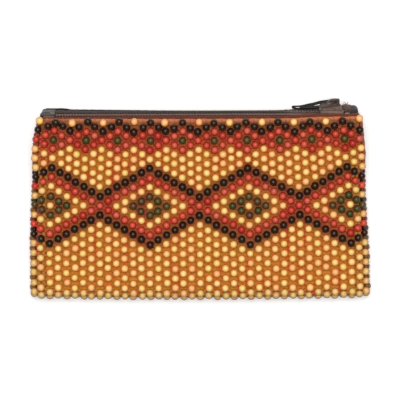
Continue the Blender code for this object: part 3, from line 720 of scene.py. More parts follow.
choose()
bpy.ops.mesh.primitive_uv_sphere_add(
    segments=10, ring_count=6, radius=1.0, rotation=(0, pi / 2, 0))
bead_blank = new_blank("bead_blank")
resize_where(bead_blank, lambda spot: abs(spot.x) > DRILLED_END, (DRILL_PRESS, 1, 1))


# ---- The beads of one side, in their colours ----
SIZE_SPREAD = 0.045
SHIFT_SPREAD = 0.00011
TOP_SHIFT_SPREAD = 0.0002
TURN_SPREAD = 0.25
COLUMN_TINT = 0.4
TINT_SPREAD = 0.45
TOP_DROP = 0.0002
FOLD_DROP = 0.00016
LOOSE_ROWS = 3
CORNER_BEADS = {(0, 0): (0.0002, 0.0, 1.04), (LAST_COLUMN, 0): (0.0003, 0.0006, 1.0)}
# How much painted shade the pale beads of the end columns get
END_TURNED_SHADE = (0.6, 0.24)
BACK_TURNED_SHADE = 0.8
TURNED_SHADE_ROWS = (4, 14)


def bead_matrix(point_at, column, row, odd, chance):
    """Where a bead sits, its hole along the row, a little off in size, place and turn."""
    centre = point_at(column, row, BEAD_RADIUS)
    outwards = (point_at(column, row, 0.0) - centre).normalized()
    along = (Vector((1, 0, 0)) - outwards * outwards.x).normalized()
    aside = outwards.cross(along)
    size = BEAD_RADIUS * (1 + chance.uniform(-SIZE_SPREAD, SIZE_SPREAD))
    spread = TOP_SHIFT_SPREAD if row < LOOSE_ROWS else SHIFT_SPREAD
    shift = along * chance.gauss(0, spread) + aside * chance.gauss(0, spread)
    if row < LOOSE_ROWS:
        shift.y -= TOP_DROP
    elif row > LAST_ROW:
        shift.y -= FOLD_DROP
    if odd == 0 and (column, row) in CORNER_BEADS:
        right, up, growth = CORNER_BEADS[column, row]
        shift = Vector((right, up, 0))
        size = BEAD_RADIUS * growth
    turn = Matrix.Rotation(chance.uniform(-TURN_SPREAD, TURN_SPREAD), 3, "Z")
    axes = Matrix((along, aside, outwards)).transposed() @ turn
    return Matrix.Translation(centre + shift) @ (axes * size).to_4x4()


def turned_shade_on(column, row, odd):
    """Painted shade: darkens the pale beads of the end columns and all beads of the bottom fold,
    where the net turns away from the light.
    """
    from_end = min(column, LAST_COLUMN - column)
    side = 0.0
    if from_end < len(END_TURNED_SHADE) and bead_colour(column, row + odd) == CREAM:
        side = BACK_TURNED_SHADE if odd else END_TURNED_SHADE[from_end] * between(row, *TURNED_SHADE_ROWS)
    return max(side, min(1.0, max(0.0, (row - LAST_ROW + 1) / 2)))


def bead_pieces(side, point_at, last_row, odd, seed):
    """The beads of one side, a piece for each colour, palest where they face out of the flat side,
    as painted light.
    On the back they sit between those of the front, so that the end columns mesh at the sides."""
    chance = random.Random(seed)
    batches = [chance.uniform(-1, 1) for _ in range(LAST_COLUMN + 1)]
    found = {finish: ([], [], []) for finish in BEADS}
    for row in range(last_row + 1):
        for column in range((row + odd) % 2, LAST_COLUMN + 1, 2):
            matrices, tints, turned_shades = found[bead_colour(column, row + odd)]
            matrices.append(bead_matrix(point_at, column, row, odd, chance))
            tint = COLUMN_TINT * batches[column] + chance.gauss(0, TINT_SPREAD)
            tints.append(max(-1.0, min(1.0, tint)))
            turned_shades.append(turned_shade_on(column, row, odd))
    corners = [vertex.co.copy() for vertex in bead_blank.data.vertices]
    facing = -1.0 if odd else 1.0
    for finish, (matrices, tints, turned_shades) in found.items():
        # Painted light: each vertex keeps how far it faces up (down on the back), which makes the
        # bead pale there.
        lit_crowns = []
        for matrix in matrices:
            turned = matrix.to_3x3()
            size = turned.col[0].length
            lit_crowns += [facing * (turned @ corner).z / size for corner in corners]
        piece = repeated(f"{side}_{finish}_beads", bead_blank, matrices, BEADS[finish])
        values_on(piece, "lit_crown", lit_crowns)
        values_on(piece, "tint", [value for value in tints for _ in corners])
        values_on(piece, "turned_shade", [value for value in turned_shades for _ in corners])
        placed(piece, "purse", finish + "_beads", side + "_bead_net")


bead_pieces("front", front_point, LAST_ROW + FOLD_ROWS, 0, 3)
bead_pieces("back", back_point, LAST_ROW - 1, 1, 5)
bpy.data.objects.remove(bead_blank)


# ---- Thread between the beads, and what fills the net at its fold and sides ----
THREAD_RADIUS = 0.00042
FOLD_THREAD_RADIUS = 0.00065
THREAD_SIDES = 5
THREAD_DEPTH = 0.0019
THREAD_SAG = 0.0001
FILL_RADIUS = 0.0011
FILL_SIDES = 8
FOLD_FILL_DEPTH = 0.0027
SIDE_FILL_DEPTH = 0.0035
EDGE_CORD_RADIUS = 0.0003
EDGE_CORD_ROW = 10.5
FULL_CORD_ROW = 15
EDGE_CORD_OUT = 0.0010


def net_thread(side, point_at, last_row, odd, seed):
    chance = random.Random(seed)
    tubes = []
    bounce_by = {label: [] for label in BEAD_SHADE_AND_BOUNCE}
    for row in range(last_row):
        radius = THREAD_RADIUS if row < LAST_ROW - 1 else FOLD_THREAD_RADIUS
        for column in range((row + odd) % 2, LAST_COLUMN + 1, 2):
            for step in (-1, 1):
                if not 0 <= column + step <= LAST_COLUMN:
                    continue
                shift = Vector((chance.gauss(0, THREAD_SAG), chance.gauss(0, THREAD_SAG), 0))
                middle = point_at(column + step / 2, row + 0.5, THREAD_DEPTH + THREAD_SAG) + shift
                line = [point_at(column, row, THREAD_DEPTH), middle,
                        point_at(column + step, row + 1, THREAD_DEPTH)]
                tubes.append((line, radius, THREAD_SIDES))
                # Painted shade and painted red reflection from the beads at both ends of the thread
                upper = bead_colour(column, row + odd)
                lower = bead_colour(column + step, row + 1 + odd)
                for label, bounce_shares in BEAD_SHADE_AND_BOUNCE.items():
                    bounce = (bounce_shares[upper] + bounce_shares[lower]) / 2
                    bounce_by[label] += [bounce] * len(line) * THREAD_SIDES
    piece = cords(side + "_net_thread", THREAD, "pouch_cloth", tubes, side + "_bead_net")
    for label, values in bounce_by.items():
        values_on(piece, label, values)


def side_lacing():
    """Thread that laces the end columns of front and back together."""
    tubes = []
    for column in (0, LAST_COLUMN):
        for row in range(OPEN_ROW + 1, LAST_ROW - 1, 2):
            front = front_point(column, row, BEAD_RADIUS)
            for step in (-1, 1):
                back = back_point(column, row + step, BEAD_RADIUS)
                tubes.append(([front, (front + back) / 2, back], THREAD_RADIUS, THREAD_SIDES))
    cords("side_lacing", LACING_THREAD, "pouch_cloth", tubes)


def filling(name, material, line):
    cords(name, material, "pouch_cloth", [(line, FILL_RADIUS, FILL_SIDES)])


net_thread("front", front_point, LAST_ROW + FOLD_ROWS, 0, 11)
net_thread("back", back_point, LAST_ROW, 1, 13)
side_lacing()
for name, below in (("inner", 0.2), ("upper", 1.0), ("lower", 1.8)):
    filling(name + "_fold_filling", FOLD_SHADE_THREAD, [
        front_point(column, LAST_ROW + below, FOLD_FILL_DEPTH) for column in range(1, LAST_COLUMN)])
for name, column in (("left_side", 0.5), ("left_inner", 1.3),
                     ("right_inner", LAST_COLUMN - 1.3), ("right_side", LAST_COLUMN - 0.5)):
    filling(name + "_filling", FILL_THREAD, [
        front_point(column, row, SIDE_FILL_DEPTH) for row in range(OPEN_ROW, LAST_ROW)])
edge = []
for row in evenly(EDGE_CORD_ROW, LAST_ROW - 0.5, 40):
    x, y, _ = front_point(LAST_COLUMN, row, BEAD_RADIUS)
    x += EDGE_CORD_OUT * between(row, EDGE_CORD_ROW, FULL_CORD_ROW)
    edge.append(Vector((x, y, THICKNESS / 2)))
cords("right_edge_cord", EDGE_CORD, "side_strip_cloth", [(edge, EDGE_CORD_RADIUS, FILL_SIDES)])


# ---- Cloth sheets ----
def grid_sheet(name, lines, material, thickness):
    """A sheet through lines of points, with a UV map in metres, given its thickness."""
    count = len(lines[0])
    faces = []
    for row in range(len(lines) - 1):
        for index in range(count - 1):
            corner = row * count + index
            faces.append((corner, corner + 1, corner + count + 1, corner + count))
    piece = piece_from(name, [point for line in lines for point in line], faces, material)
    lengths = [0.0]
    for before, after in zip(lines, lines[1:]):
        lengths.append(lengths[-1] + (after[count // 2] - before[count // 2]).length)

    def along_threads(index):
        row, place = divmod(index, count)
        return (lines[row][place] - lines[row][0]).length, lengths[row]

    weave_map(piece, along_threads)
    with_modifier(piece, "SOLIDIFY", thickness=thickness, offset=0.0)
    return piece


def pouch_half_width(y):
    spread = 1 - lacing(row_at(y))
    return inner_column_at(y) - POUCH_INSET + POUCH_FLARE * spread * spread


POUCH_COLUMNS = 81
POUCH_LEVELS = 60
POUCH_FOLD_STEPS = 8
hem_y = MOUTH_Y - HEM_DROP
back_hem_y = hem_y + 2 * ZIP_HALF_WIDTH * sin(ZIP_TILT)
fold_y = net_point(0, LAST_ROW)[1] + POUCH_LIFT


def pouch():
    levels = evenly(hem_y, fold_y, POUCH_LEVELS)
    path = [(y, front_height(y) - POUCH_DEPTH) for y in levels]
    middle = THICKNESS / 2
    reach = middle - POUCH_DEPTH
    for step in range(1, POUCH_FOLD_STEPS):
        angle = pi * step / POUCH_FOLD_STEPS
        path.append((fold_y - reach * sin(angle), middle + reach * cos(angle)))
    path += [(y, POUCH_DEPTH) for y in (*levels[::-1], back_hem_y)]
    lines = []
    for y, z in path:
        reach = pouch_half_width(y)
        lines.append([in_purse(x, y, z) for x in evenly(-reach, reach, POUCH_COLUMNS)])
    piece = grid_sheet("pouch_cloth", lines, POUCH_CLOTH, CLOTH_THICKNESS)
    # Painted shade and painted red reflection from the nearest beads, kept on the cloth's vertices
    for label, bounce_shares in BEAD_SHADE_AND_BOUNCE.items():
        values = []
        for vertex in piece.data.vertices:
            row = row_at(vertex.co.y - PURSE_SHIFT)
            column = MIDDLE_COLUMN * (1 + vertex.co.x / half_width(row / MIDDLE_ROW - 1))
            values.append(bounce_near(column, row, bounce_shares) if row < LAST_ROW else 0.0)
        values_on(piece, label, values)
    return placed(piece, "purse", "pouch_cloth", "cloth_pouch")


pouch_piece = pouch()


# ---- Rolled hem along the mouth, with the stitches that hold the beads to it ----
HEM_HALF_WIDTH = 0.00078
HEM_HALF_HEIGHT = 0.00042
HEM_STEPS = 90
HEM_SIDES = 10
HEM_SAG = 0.6 * ROW_SAG
HEM_RISE_AT = (0.036, 0.052)
HEM_PUFF = 0.10
HEM_UNEVEN = 0.05
HEM_SHADE = 0.5
HEM_SHADE_AT = (0.050, 0.057)
HEM_TILT = radians(18.0)
STITCH_RADIUS = 0.00024
STITCH_SIDES = 6
STITCH_STEPS = 7
STITCH_LEAN = 0.0007
# Place of the middle of each hem, and how far it rises towards the slider
FRONT_HEM = (0.03596, 0.01322, 0.00052)
BACK_HEM = (0.03905, 0.00330, 0.0)


def hem_lift(x, rise):
    return HEM_SAG * (x / HALF_WIDTH) ** 2 + rise * between(x, *HEM_RISE_AT)


def hem(name, place, first, last, tilt, seed):
    """A flattened roll of cloth whose line follows the sag of the top row of beads."""
    chance = random.Random(seed)
    centre_y, centre_z, rise = place
    points = []
    for x in evenly(first, last, HEM_STEPS):
        puff = 1 + HEM_PUFF * sin(x / COLUMN_STEP * pi) + chance.uniform(-HEM_UNEVEN, HEM_UNEVEN)
        for step in range(HEM_SIDES):
            angle = tau * step / HEM_SIDES
            out = HEM_HALF_WIDTH * puff * cos(angle)
            up = HEM_HALF_HEIGHT * puff * sin(angle)
            y = centre_y + hem_lift(x, rise) + out * cos(tilt) - up * sin(tilt)
            points.append(in_purse(x, y, centre_z + out * sin(tilt) + up * cos(tilt)))
    piece = piece_from(name, points, ring_faces(0, HEM_SIDES, HEM_STEPS), HEM_CLOTH)
    girth = pi * (HEM_HALF_WIDTH + HEM_HALF_HEIGHT)
    weave_map(piece, lambda index: (points[index].x, girth * (index % HEM_SIDES) / HEM_SIDES))
    # Painted shade on the left ends of the hems
    values_on(piece, "tone_and_shade", [HEM_SHADE * between(-point.x, *HEM_SHADE_AT) for point in points])
    outward(piece)
    return placed(piece, "purse", "pouch_cloth")


def hem_stitches(name, place, facing, seed):
    """A slanted stitch over the hem between each two beads of the top row."""
    chance = random.Random(seed)
    centre_y, centre_z, rise = place
    tubes = []
    for column in range(1, LAST_COLUMN, 2):
        x = eased(column, 0, net_point(column, 0)[0])
        lean = STITCH_LEAN * chance.uniform(0.3, 1.2)
        line = []
        for share in evenly(0, 1, STITCH_STEPS):
            angle = pi * (0.02 + 0.96 * share)
            out = (HEM_HALF_WIDTH + STITCH_RADIUS / 2) * cos(angle)
            up = (HEM_HALF_HEIGHT + STITCH_RADIUS * 2 / 3) * sin(angle) * facing
            y = centre_y + hem_lift(x, rise) + out
            line.append(in_purse(x + lean * (share - 0.5), y, centre_z + up))
        tubes.append((line, STITCH_RADIUS, STITCH_SIDES))
    return cords(name, HEM_THREAD, "pouch_cloth", tubes)


front_hem = hem("front_hem", FRONT_HEM, -0.0686, 0.0674, HEM_TILT, 17)
back_hem = hem("back_hem", BACK_HEM, -0.0668, 0.0668, 0.0, 19)
front_stitches = hem_stitches("front_hem_stitches", FRONT_HEM, 1.0, 23)
back_stitches = hem_stitches("back_hem_stitches", BACK_HEM, -1.0, 29)


# ---- Strips that close the sides ----
STRIP_LEVELS = 48
STRIP_RIPPLE = 0.00012
STRIP_RIPPLE_RATE = 2600


def side_strip(name, side):
    lines = []
    for y in evenly(hem_y, fold_y, STRIP_LEVELS):
        inner = pouch_half_width(y) + STRIP_GAP
        outer = inner + STRIP_WIDTH
        turn = max(LEAST_TURN, CAD_SIDE_TURN * lacing(row_at(y)))
        reach = COLUMN_STEP / turn + BEAD_RADIUS - STRIP_DEPTH
        levels = []
        for x in (inner, outer):
            past = max(0.0, x - inner_column_at(y))
            levels.append(STRIP_DEPTH + reach - sqrt(max(0.0, reach * reach - past * past)))
        near, far = levels
        top = front_height(y)
        rippled = outer + STRIP_RIPPLE * sin(y * STRIP_RIPPLE_RATE)
        section = [
            (inner, near), (outer - STRIP_ROUND, far), (rippled, far + STRIP_ROUND),
            (rippled - STRIP_ROUND / 2, top / 2), (rippled, top - far - STRIP_ROUND),
            (outer - STRIP_ROUND, top - far), (inner, top - near)]
        lines.append([in_purse(side * x, y, z) for x, z in section])
    piece = grid_sheet(name.replace("_strip", "_binding"), lines, STRIP_CLOTH, STRIP_THICKNESS)
    return placed(piece, "purse", "side_strip_cloth", name)


for name, side in (("left_side_strip", -1), ("right_side_strip", 1)):
    strip = side_strip(name, side)


# ---- Zip tapes, their ends turned back, the right ends frayed ----
TAPE_START = 0.0022
TURN_STEPS = 10
TURN_RIPPLE = 0.00008
TURN_RIPPLE_RATE = 2500
LUMP_ACROSS = 14
LUMP_ROUND = 0.22
BOX_CORNER_STEPS = 4
FIBRE_RADIUS = 0.00008
FIBRE_SIDES = 5


def zip_tape(name, side):
    edge, corner = [Vector((side * across, 0.0)) for across in (TAPE_EDGE, ZIP_HALF_WIDTH)]
    mouth = MOUTH_Y + (1 + side) * ZIP_HALF_WIDTH * sin(ZIP_TILT)
    flange = []
    for y in evenly(mouth - TAPE_START, mouth - TAPE_FLANGE, 4):
        level = TAPE_DEPTH if side > 0 else front_height(y) - TAPE_DEPTH
        flange.append((ZIP_FRAME.inverted() @ in_purse(0, y, level)).yz)
    before, after = [corner + (end - corner).normalized() * TAPE_CORNER
                     for end in (edge, flange[0])]
    path = [edge.lerp(corner, share) for share in (0.0, 0.2, 0.4, 0.6)]
    path += [before.lerp(corner, share).lerp(corner.lerp(after, share), share)
             for share in evenly(0, 1, 7)]
    reach = ZIP_HALF_LENGTH - TAPE_THICKNESS
    lines = [[on_zip(x, *point) for point in path + flange] for x in evenly(-reach, reach, 70)]
    piece = grid_sheet(name + "_cloth", lines, TAPE_CLOTH, TAPE_THICKNESS)
    return placed(piece, "purse", "tape_weave", name)


def tape_turn(name, side, end, reach, radius, cut, material):
    """The end of a tape turned back over itself, lying across the flat part of the tape."""
    foot = reach - radius - TAPE_THICKNESS / 2
    middle = (cut + foot) / 2
    path = [(cut, 0.0), (middle, 0.0), (foot, 0.0)]
    for step in range(1, TURN_STEPS + 1):
        angle = pi * step / TURN_STEPS
        path.append((foot + radius * sin(angle), radius * (1 - cos(angle))))
    path += [(middle, 2 * radius + 0.00005), (cut, 2 * radius)]
    far = ZIP_HALF_WIDTH - TAPE_CORNER * 0.6
    lines = []
    for place, (x, z) in enumerate(path):
        ripple = TURN_RIPPLE * sin(place * 1.7 + side)
        level = z + TAPE_THICKNESS * 0.2
        lines.append([on_zip(end * x, across, level + ripple * sin(across * TURN_RIPPLE_RATE))
                      for across in evenly(side * TAPE_GAP, side * far, 8)])
    return placed(grid_sheet(name, lines, material, TAPE_THICKNESS * 0.8), "purse", "tape_weave")


def rounded_box(left, right, low, high, corner=0.0006):
    """Outline of a box along the zip with rounded corners, as (x, z)."""
    outline = []
    for turn, (x, z) in enumerate(((right, high), (left, high), (left, low), (right, low))):
        centre_x = x - corner if x == right else x + corner
        centre_z = z - corner if z == high else z + corner
        for share in evenly(0, 1, BOX_CORNER_STEPS + 1):
            angle = pi / 2 * (turn + share)
            outline.append((centre_x + corner * cos(angle), centre_z + corner * sin(angle)))
    return outline


def crumpled(name, box, near, far, puff, seed, material):
    """Tucked cloth: the outline of a box along the zip, drawn across it and rounded off."""
    chance = random.Random(seed)
    waves = [(chance.uniform(0, tau), chance.uniform(1200, 3200), chance.uniform(900, 2600))
             for _ in range(4)]
    outline = rounded_box(*box)
    middle_x, middle_z = [sum(values) / len(outline) for values in zip(*outline)]
    points = []
    for place in evenly(1, -1, LUMP_ACROSS + 1):
        across = (near + far) / 2 + (near - far) / 2 * sin(place * pi / 2)
        size = max(0.0, 1 - abs(place) ** (1 / LUMP_ROUND)) ** LUMP_ROUND
        for x, z in outline:
            swell = sum(sin(turn + along * x + up * (z + across)) for turn, along, up in waves)
            grown = size * (1 + puff * swell)
            up = middle_z + (z - middle_z) * grown
            points.append(on_zip(middle_x + (x - middle_x) * grown, across, up))
    faces = ring_faces(0, len(outline), LUMP_ACROSS + 1, closed=False)
    piece = piece_from(name, points, faces, material)
    with edited(piece) as mesh:
        bmesh.ops.remove_doubles(mesh, verts=mesh.verts, dist=1e-7)
        bmesh.ops.recalc_face_normals(mesh, faces=mesh.faces)
    spots = [vertex.co.copy() for vertex in piece.data.vertices]
    weave_map(piece, lambda index: (spots[index].x, spots[index].y + spots[index].z))
    return placed(piece, "purse", "tape_weave")


def fray(name, lows, highs, count, reach, seed):
    """Loose threads that start in a box at the cut end of a turned-back tape."""
    chance = random.Random(seed)

    def within(*ranges):
        return Vector([chance.uniform(*each) for each in ranges])

    tubes = []
    for _ in range(count):
        start = within(*zip(lows, highs))
        length = reach * chance.uniform(0.5, 1.0)
        way = within((-0.7, 0.5), (-0.9, 0.6), (-0.6, 0.9))
        curl = within((-0.5, 0.5), (-0.5, 0.5), (-0.8, 0.3))
        line = [on_zip(*(start + (way * share + curl * share * share) * length))
                for share in evenly(0, 1, 5)]
        tubes.append((line, FIBRE_RADIUS * chance.uniform(0.7, 1.4), FIBRE_SIDES))
    return cords(name, FIBRE, "tape_weave", tubes)


BACK_PLEAT = 0.00515
BACK_PLEAT_LOW = 0.0009
BACK_PLEAT_SAG = 0.00042
BACK_PLEAT_SAG_AT = 0.010
BACK_PLEAT_RISE = 0.00045
BACK_PLEAT_RISE_AT = (-0.0580, -0.0540)
BACK_PLEAT_DROP = 0.0006
BACK_PLEAT_DROP_AT = (-0.0668, -0.0650)
BACK_PLEAT_SWELL = 0.00085
FRONT_PLEAT = -0.00396
FRONT_PLEAT_LOW = 0.0012
FRONT_PLEAT_SWELL = 0.0009
FRONT_PLEAT_SWELL_AT = (0.034, 0.048)
PLEAT_RIPPLE = 0.00004
PLEAT_RIPPLE_RATE = 1900
TOWARD_SLIDER_AT = (0.034, 0.042)


def back_pleat_top(x):
    """Height over the zip's base: highest at the left end, lowest past the middle."""
    sag = BACK_PLEAT_SAG * cos((x - BACK_PLEAT_SAG_AT) / ZIP_HALF_LENGTH * pi * 0.8)
    left = BACK_PLEAT_RISE * (1 - between(x, *BACK_PLEAT_RISE_AT))
    left -= BACK_PLEAT_DROP * (1 - between(x, *BACK_PLEAT_DROP_AT))
    return BACK_PLEAT_LOW - sag + left + BACK_PLEAT_SWELL * between(x, *TOWARD_SLIDER_AT)


def front_pleat_top(x):
    """The front pleat is pushed up where the slider stands and beyond it."""
    return FRONT_PLEAT_LOW + FRONT_PLEAT_SWELL * between(x, *FRONT_PLEAT_SWELL_AT)


def ripple_at(x):
    return PLEAT_RIPPLE * sin(x * PLEAT_RIPPLE_RATE)


def standing_pleat(name, place, top_at, first, last, inner, material):
    """A pleat of a tape that stands up beside the zip, clear of the slider."""
    lines = []
    for x in evenly(first, last, 90):
        top = top_at(x) + ripple_at(x)
        path = ((inner, -0.0002), ((inner + place) / 2, -0.0001), (place, 0.0002),
                (place, top * 0.6), (place, top))
        lines.append([on_zip(x, across, up) for across, up in path])
    return placed(grid_sheet(name, lines, material, TAPE_THICKNESS * 0.6), "purse", "tape_weave")


def pleat_edge(name, place, first, last, radius, material):
    """A thread along the top of the back pleat."""
    line = [on_zip(x, place, back_pleat_top(x) + ripple_at(x)) for x in evenly(first, last, 60)]
    return cords(name, material, "tape_weave", [(line, radius, 6)])


LEFT_TUCK = (-0.0660, -0.0613, 0.0003, 0.0015)
front_tape = zip_tape("front_zip_tape", -1)
back_tape = zip_tape("back_zip_tape", 1)
front_ends = [
    tape_turn("front_tape_left_end", -1, -1, FRONT_END, LOW_CURL, LEFT_CUT, TAPE_END_SHADE_CLOTH),
    tape_turn("front_tape_right_end", -1, 1, FRONT_END, FLAT_CURL, RIGHT_CUT, TAPE_CLOTH),
    crumpled("front_tape_left_tuck", LEFT_TUCK, -0.0001, -0.0036, 0.010, 40, LIT_TAPE_CLOTH),
    standing_pleat("front_tape_pleat", FRONT_PLEAT, front_pleat_top, -0.0608, 0.0666, -0.0043,
                   PLEAT_SHADE_CLOTH),
]
back_ends = [
    tape_turn("back_tape_left_end", 1, -1, ZIP_HALF_LENGTH, LEFT_CURL, LEFT_CUT, LIT_TAPE_CLOTH),
    tape_turn("back_tape_right_end", 1, 1, ZIP_HALF_LENGTH, HIGH_CURL, RIGHT_CUT, TAPE_END_SHADE_CLOTH),
    crumpled("back_tape_left_tuck", LEFT_TUCK, 0.0001, 0.0036, 0.010, 42, LIT_TAPE_CLOTH),
    crumpled("back_tape_right_tuck", (0.0632, 0.0663, 0.0019, 0.0034), -0.0016, 0.0036, 0.016, 44,
             TAPE_END_SHADE_CLOTH),
    crumpled("back_tape_cut_end", (0.0609, 0.0636, 0.0021, 0.0041), -0.0014, 0.0032, 0.035, 46,
             CUT_CLOTH),
    fray("back_tape_fray", (0.0611, -0.0012, 0.0024), (0.0634, 0.0030, 0.0040), 110, 0.0014, 31),
    crumpled("back_tape_loose_flap", (0.0600, 0.0613, 0.0039, 0.0044, 0.0002), -0.0002, 0.0020,
             0.02, 48, CUT_CLOTH),
    fray("back_tape_long_fibres", (0.0607, 0.0039, 0.0031), (0.0624, 0.0043, 0.0036), 26, 0.0021,
         33),
    standing_pleat("back_tape_pleat", BACK_PLEAT, back_pleat_top, -0.0664, 0.0612, 0.0043,
                   LIT_TAPE_CLOTH),
    pleat_edge("back_tape_pleat_edge", BACK_PLEAT, -0.0664, 0.0370, 0.00026, EDGE_THREAD),
    pleat_edge("back_tape_dark_thread", BACK_PLEAT - 0.0002, -0.0608, -0.0556, 0.00036,
               DARK_THREAD),
]


# ---- Coil teeth, one modelled and copied, with the cord in them and the seam to the tape ----
TOOTH_SIDES = 6
TORUS_WIRE = 0.36
WIRE = 0.00028
CORD_RADIUS = 0.00034
SEAM_RADIUS = 0.0002
SEAM_SIDES = 4
SEAM_HALF_WIDTH = 0.00078
SEAM_SINK = 0.00012
SEAM_MARGIN = 0.0004
FIRST_TOOTH = 0.0003
TOOTH_MARGIN = 0.0002
cord_place = CHAIN_HALF_WIDTH - 0.0008
seam_place = CHAIN_HALF_WIDTH - 0.00075
tooth_length = (CHAIN_HALF_WIDTH - CHANNEL_HALF) / 2
tooth_height = (COIL_HIGH[1] - COIL_LOW) / 2

choose()
bpy.ops.mesh.primitive_torus_add(
    major_segments=8, minor_segments=TOOTH_SIDES, major_radius=1.0, minor_radius=TORUS_WIRE,
    rotation=(0, pi / 2, 0))
tooth_blank = new_blank("tooth_blank")
resize_where(tooth_blank, lambda spot: True, (
    WIRE / TORUS_WIRE, (tooth_length - 0.0001) / (1 + TORUS_WIRE), tooth_height / (1 + TORUS_WIRE)))
resize_where(tooth_blank, lambda spot: spot.y < -tooth_length * 0.72, (1.35, 1, 0.85))


def zip_coil(name, side):
    height = COIL_HIGH[side] - COIL_LOW
    middle = COIL_LOW + height / 2
    steps = round(2 * COIL_END / TOOTH_PITCH)
    turned = Matrix.Rotation(pi if side < 0 else 0.0, 4, "Z")
    turned = turned @ Matrix.Diagonal((1, 1, height / (2 * tooth_height), 1))
    places = []
    for step in range(steps + (side < 0)):
        x = -COIL_END + FIRST_TOOTH + (step + (0.5 if side > 0 else 0.0)) * TOOTH_PITCH
        if x <= COIL_END - TOOTH_MARGIN:
            spot = Matrix.Translation((x, side * (CHANNEL_HALF + tooth_length), middle))
            places.append(ZIP_FRAME @ spot @ turned)
    teeth = repeated(name + "_teeth", tooth_blank, places, COIL_NYLON[side])
    placed(teeth, "purse", "coil_nylon", name)
    line = [on_zip(x, side * cord_place, middle) for x in evenly(-COIL_END, COIL_END, 60)]
    tubes = [(line, CORD_RADIUS, TOOTH_SIDES)]
    for step in range(steps):
        x = -COIL_END + (step + (0.5 if side < 0 else 1.0)) * TOOTH_PITCH
        arc = []
        for turn in evenly(0.05, 0.95, 6):
            y = side * (seam_place + SEAM_HALF_WIDTH * cos(pi * turn))
            arc.append(on_zip(x, y, COIL_LOW + (height - SEAM_SINK) * sin(pi * turn)))
        if abs(x) <= COIL_END - SEAM_MARGIN:
            tubes.append((arc, SEAM_RADIUS, SEAM_SIDES))
    cord = cords(name.replace("_coil", "_coil_cord"), COIL_CORD[side], "coil_nylon", tubes)
    # The coil turns paler toward the slider
    for piece in (teeth, cord):
        values_on(piece, "tone_and_shade", [
            between(vertex.co.x, *TOWARD_SLIDER_AT) for vertex in piece.data.vertices])


zip_coil("front_zip_coil", -1)
zip_coil("back_zip_coil", 1)
bpy.data.objects.remove(tooth_blank)


# ---- Metal: stops, slider and pull, with their edges broken ----
METAL_BEVEL = {"segments": 2, "limit_method": "ANGLE", "angle_limit": radians(28.0)}
SAME_FACE_ANGLE = radians(1.0)
WORN_ANGLE = radians(30.0)
SMOOTH_ANGLE = radians(32.0)
PIVOT = Vector(swing_joint["pos_m"])
ACROSS = (ZIP_FRAME.to_3x3() @ Vector((0, 1, 0))).normalized()
SLIDER_PLACE = ZIP_FRAME @ Matrix.Translation((zip_joint["pos_m"][0], 0, 0))
PLATE_TOP = 0.00315
PULL_THINNESS = 0.6
PULL_TWIST = radians(-5.6)
PLATE_RISE = 0.0003
BAR_REACH = 0.0007
NECK_END = 0.0066
TIP_START = 0.0145
PULL_END = 0.0195
TIP_BEND = 0.0006
PULL_BOW = 0.0003
PULL_BOW_AT = (0.0062, 0.0095)
PULL_BREADTH = 1.2
BREADTH_CHANGE = 0.12
NECK_TO_SLOT = (0.0050, 0.0072)
SLOT_TO_TIP = (0.0100, 0.0150)
PULL_CUTS = (0.0065, 0.0080, 0.0095, 0.0115, 0.0135, 0.0150, 0.0165, 0.0178)
# Plates between the pull's rails, as corners (along, across)
PULL_PLATES = (
    [(0.0094, 0.00165), (0.0155, 0.00095), (0.0155, -0.00095), (0.0094, -0.00165)],
    [(0.0060, 0.0020), (0.0096, 0.0017), (0.0096, 0.0004), (0.0060, 0.0007)],
    [(0.0066, -0.0008), (0.0096, -0.0003), (0.0096, -0.0017), (0.0066, -0.0018)],
    [(0.00395, 0.0020), (0.0068, 0.0020), (0.0068, -0.0020), (0.00395, -0.0020)],
)
LOCK_HALF_WIDTH = 0.0021
LOCK_OUTLINE = [(-0.0042, 0.0029), (0.0009, 0.0029), (0.0009, 0.0066), (-0.0027, 0.0066),
                (-0.0037, 0.0061), (-0.0042, 0.0053)]
BASE_HALF_WIDTH = 0.0022
BLOCK_BEVEL = 0.00014
LOCK_HOLE = 0.0008
BASE_OUTLINE = [(-0.0068, 0.0029), (0.0026, 0.0029), (0.0024, 0.0038), (0.0017, 0.0046),
                (-0.0044, 0.0046), (-0.0052, 0.0041), (-0.0066, 0.0035)]


def dressed_metal(node_name, name, body, finish, bevel, wear):
    """A copy of a CAD node with its edges rounded, and a value for wear kept on its edges."""
    piece = piece_from(name, [], [], finish)
    with edited(piece, frame["nodes"][node_name]) as mesh:
        bmesh.ops.remove_doubles(mesh, verts=mesh.verts, dist=2e-6)
        bmesh.ops.dissolve_limit(
            mesh, angle_limit=SAME_FACE_ANGLE, verts=mesh.verts, edges=mesh.edges)
    for polygon in piece.data.polygons:
        polygon.material_index = 0
    with_modifier(piece, "BEVEL", width=bevel, harden_normals=False, **METAL_BEVEL)
    with edited(piece) as mesh:
        layer = mesh.verts.layers.float.new("edge")
        for vertex in mesh.verts:
            turns = [edge.calc_face_angle(0.0) for edge in vertex.link_edges]
            vertex[layer] = wear * min(1.0, max(turns, default=0.0) / WORN_ANGLE)
    choose(piece)
    bpy.ops.object.shade_smooth_by_angle(angle=SMOOTH_ANGLE)
    return placed(piece, body, "dark_bronze", node_name)


def prism(name, lower, upper, finish):
    """A flat-sided block between two outlines of as many corners."""
    piece = piece_from(name, lower + upper, ring_faces(0, len(lower), 2), finish, smooth=False)
    outward(piece)
    return piece


def breadth_at(along):
    """How much broader the pull looks than its solid: most over its slot, least at its tip."""
    end = between(along, *SLOT_TO_TIP)
    slot = BREADTH_CHANGE * between(along, *NECK_TO_SLOT) * (1 - end)
    return PULL_BREADTH - BREADTH_CHANGE * end + slot


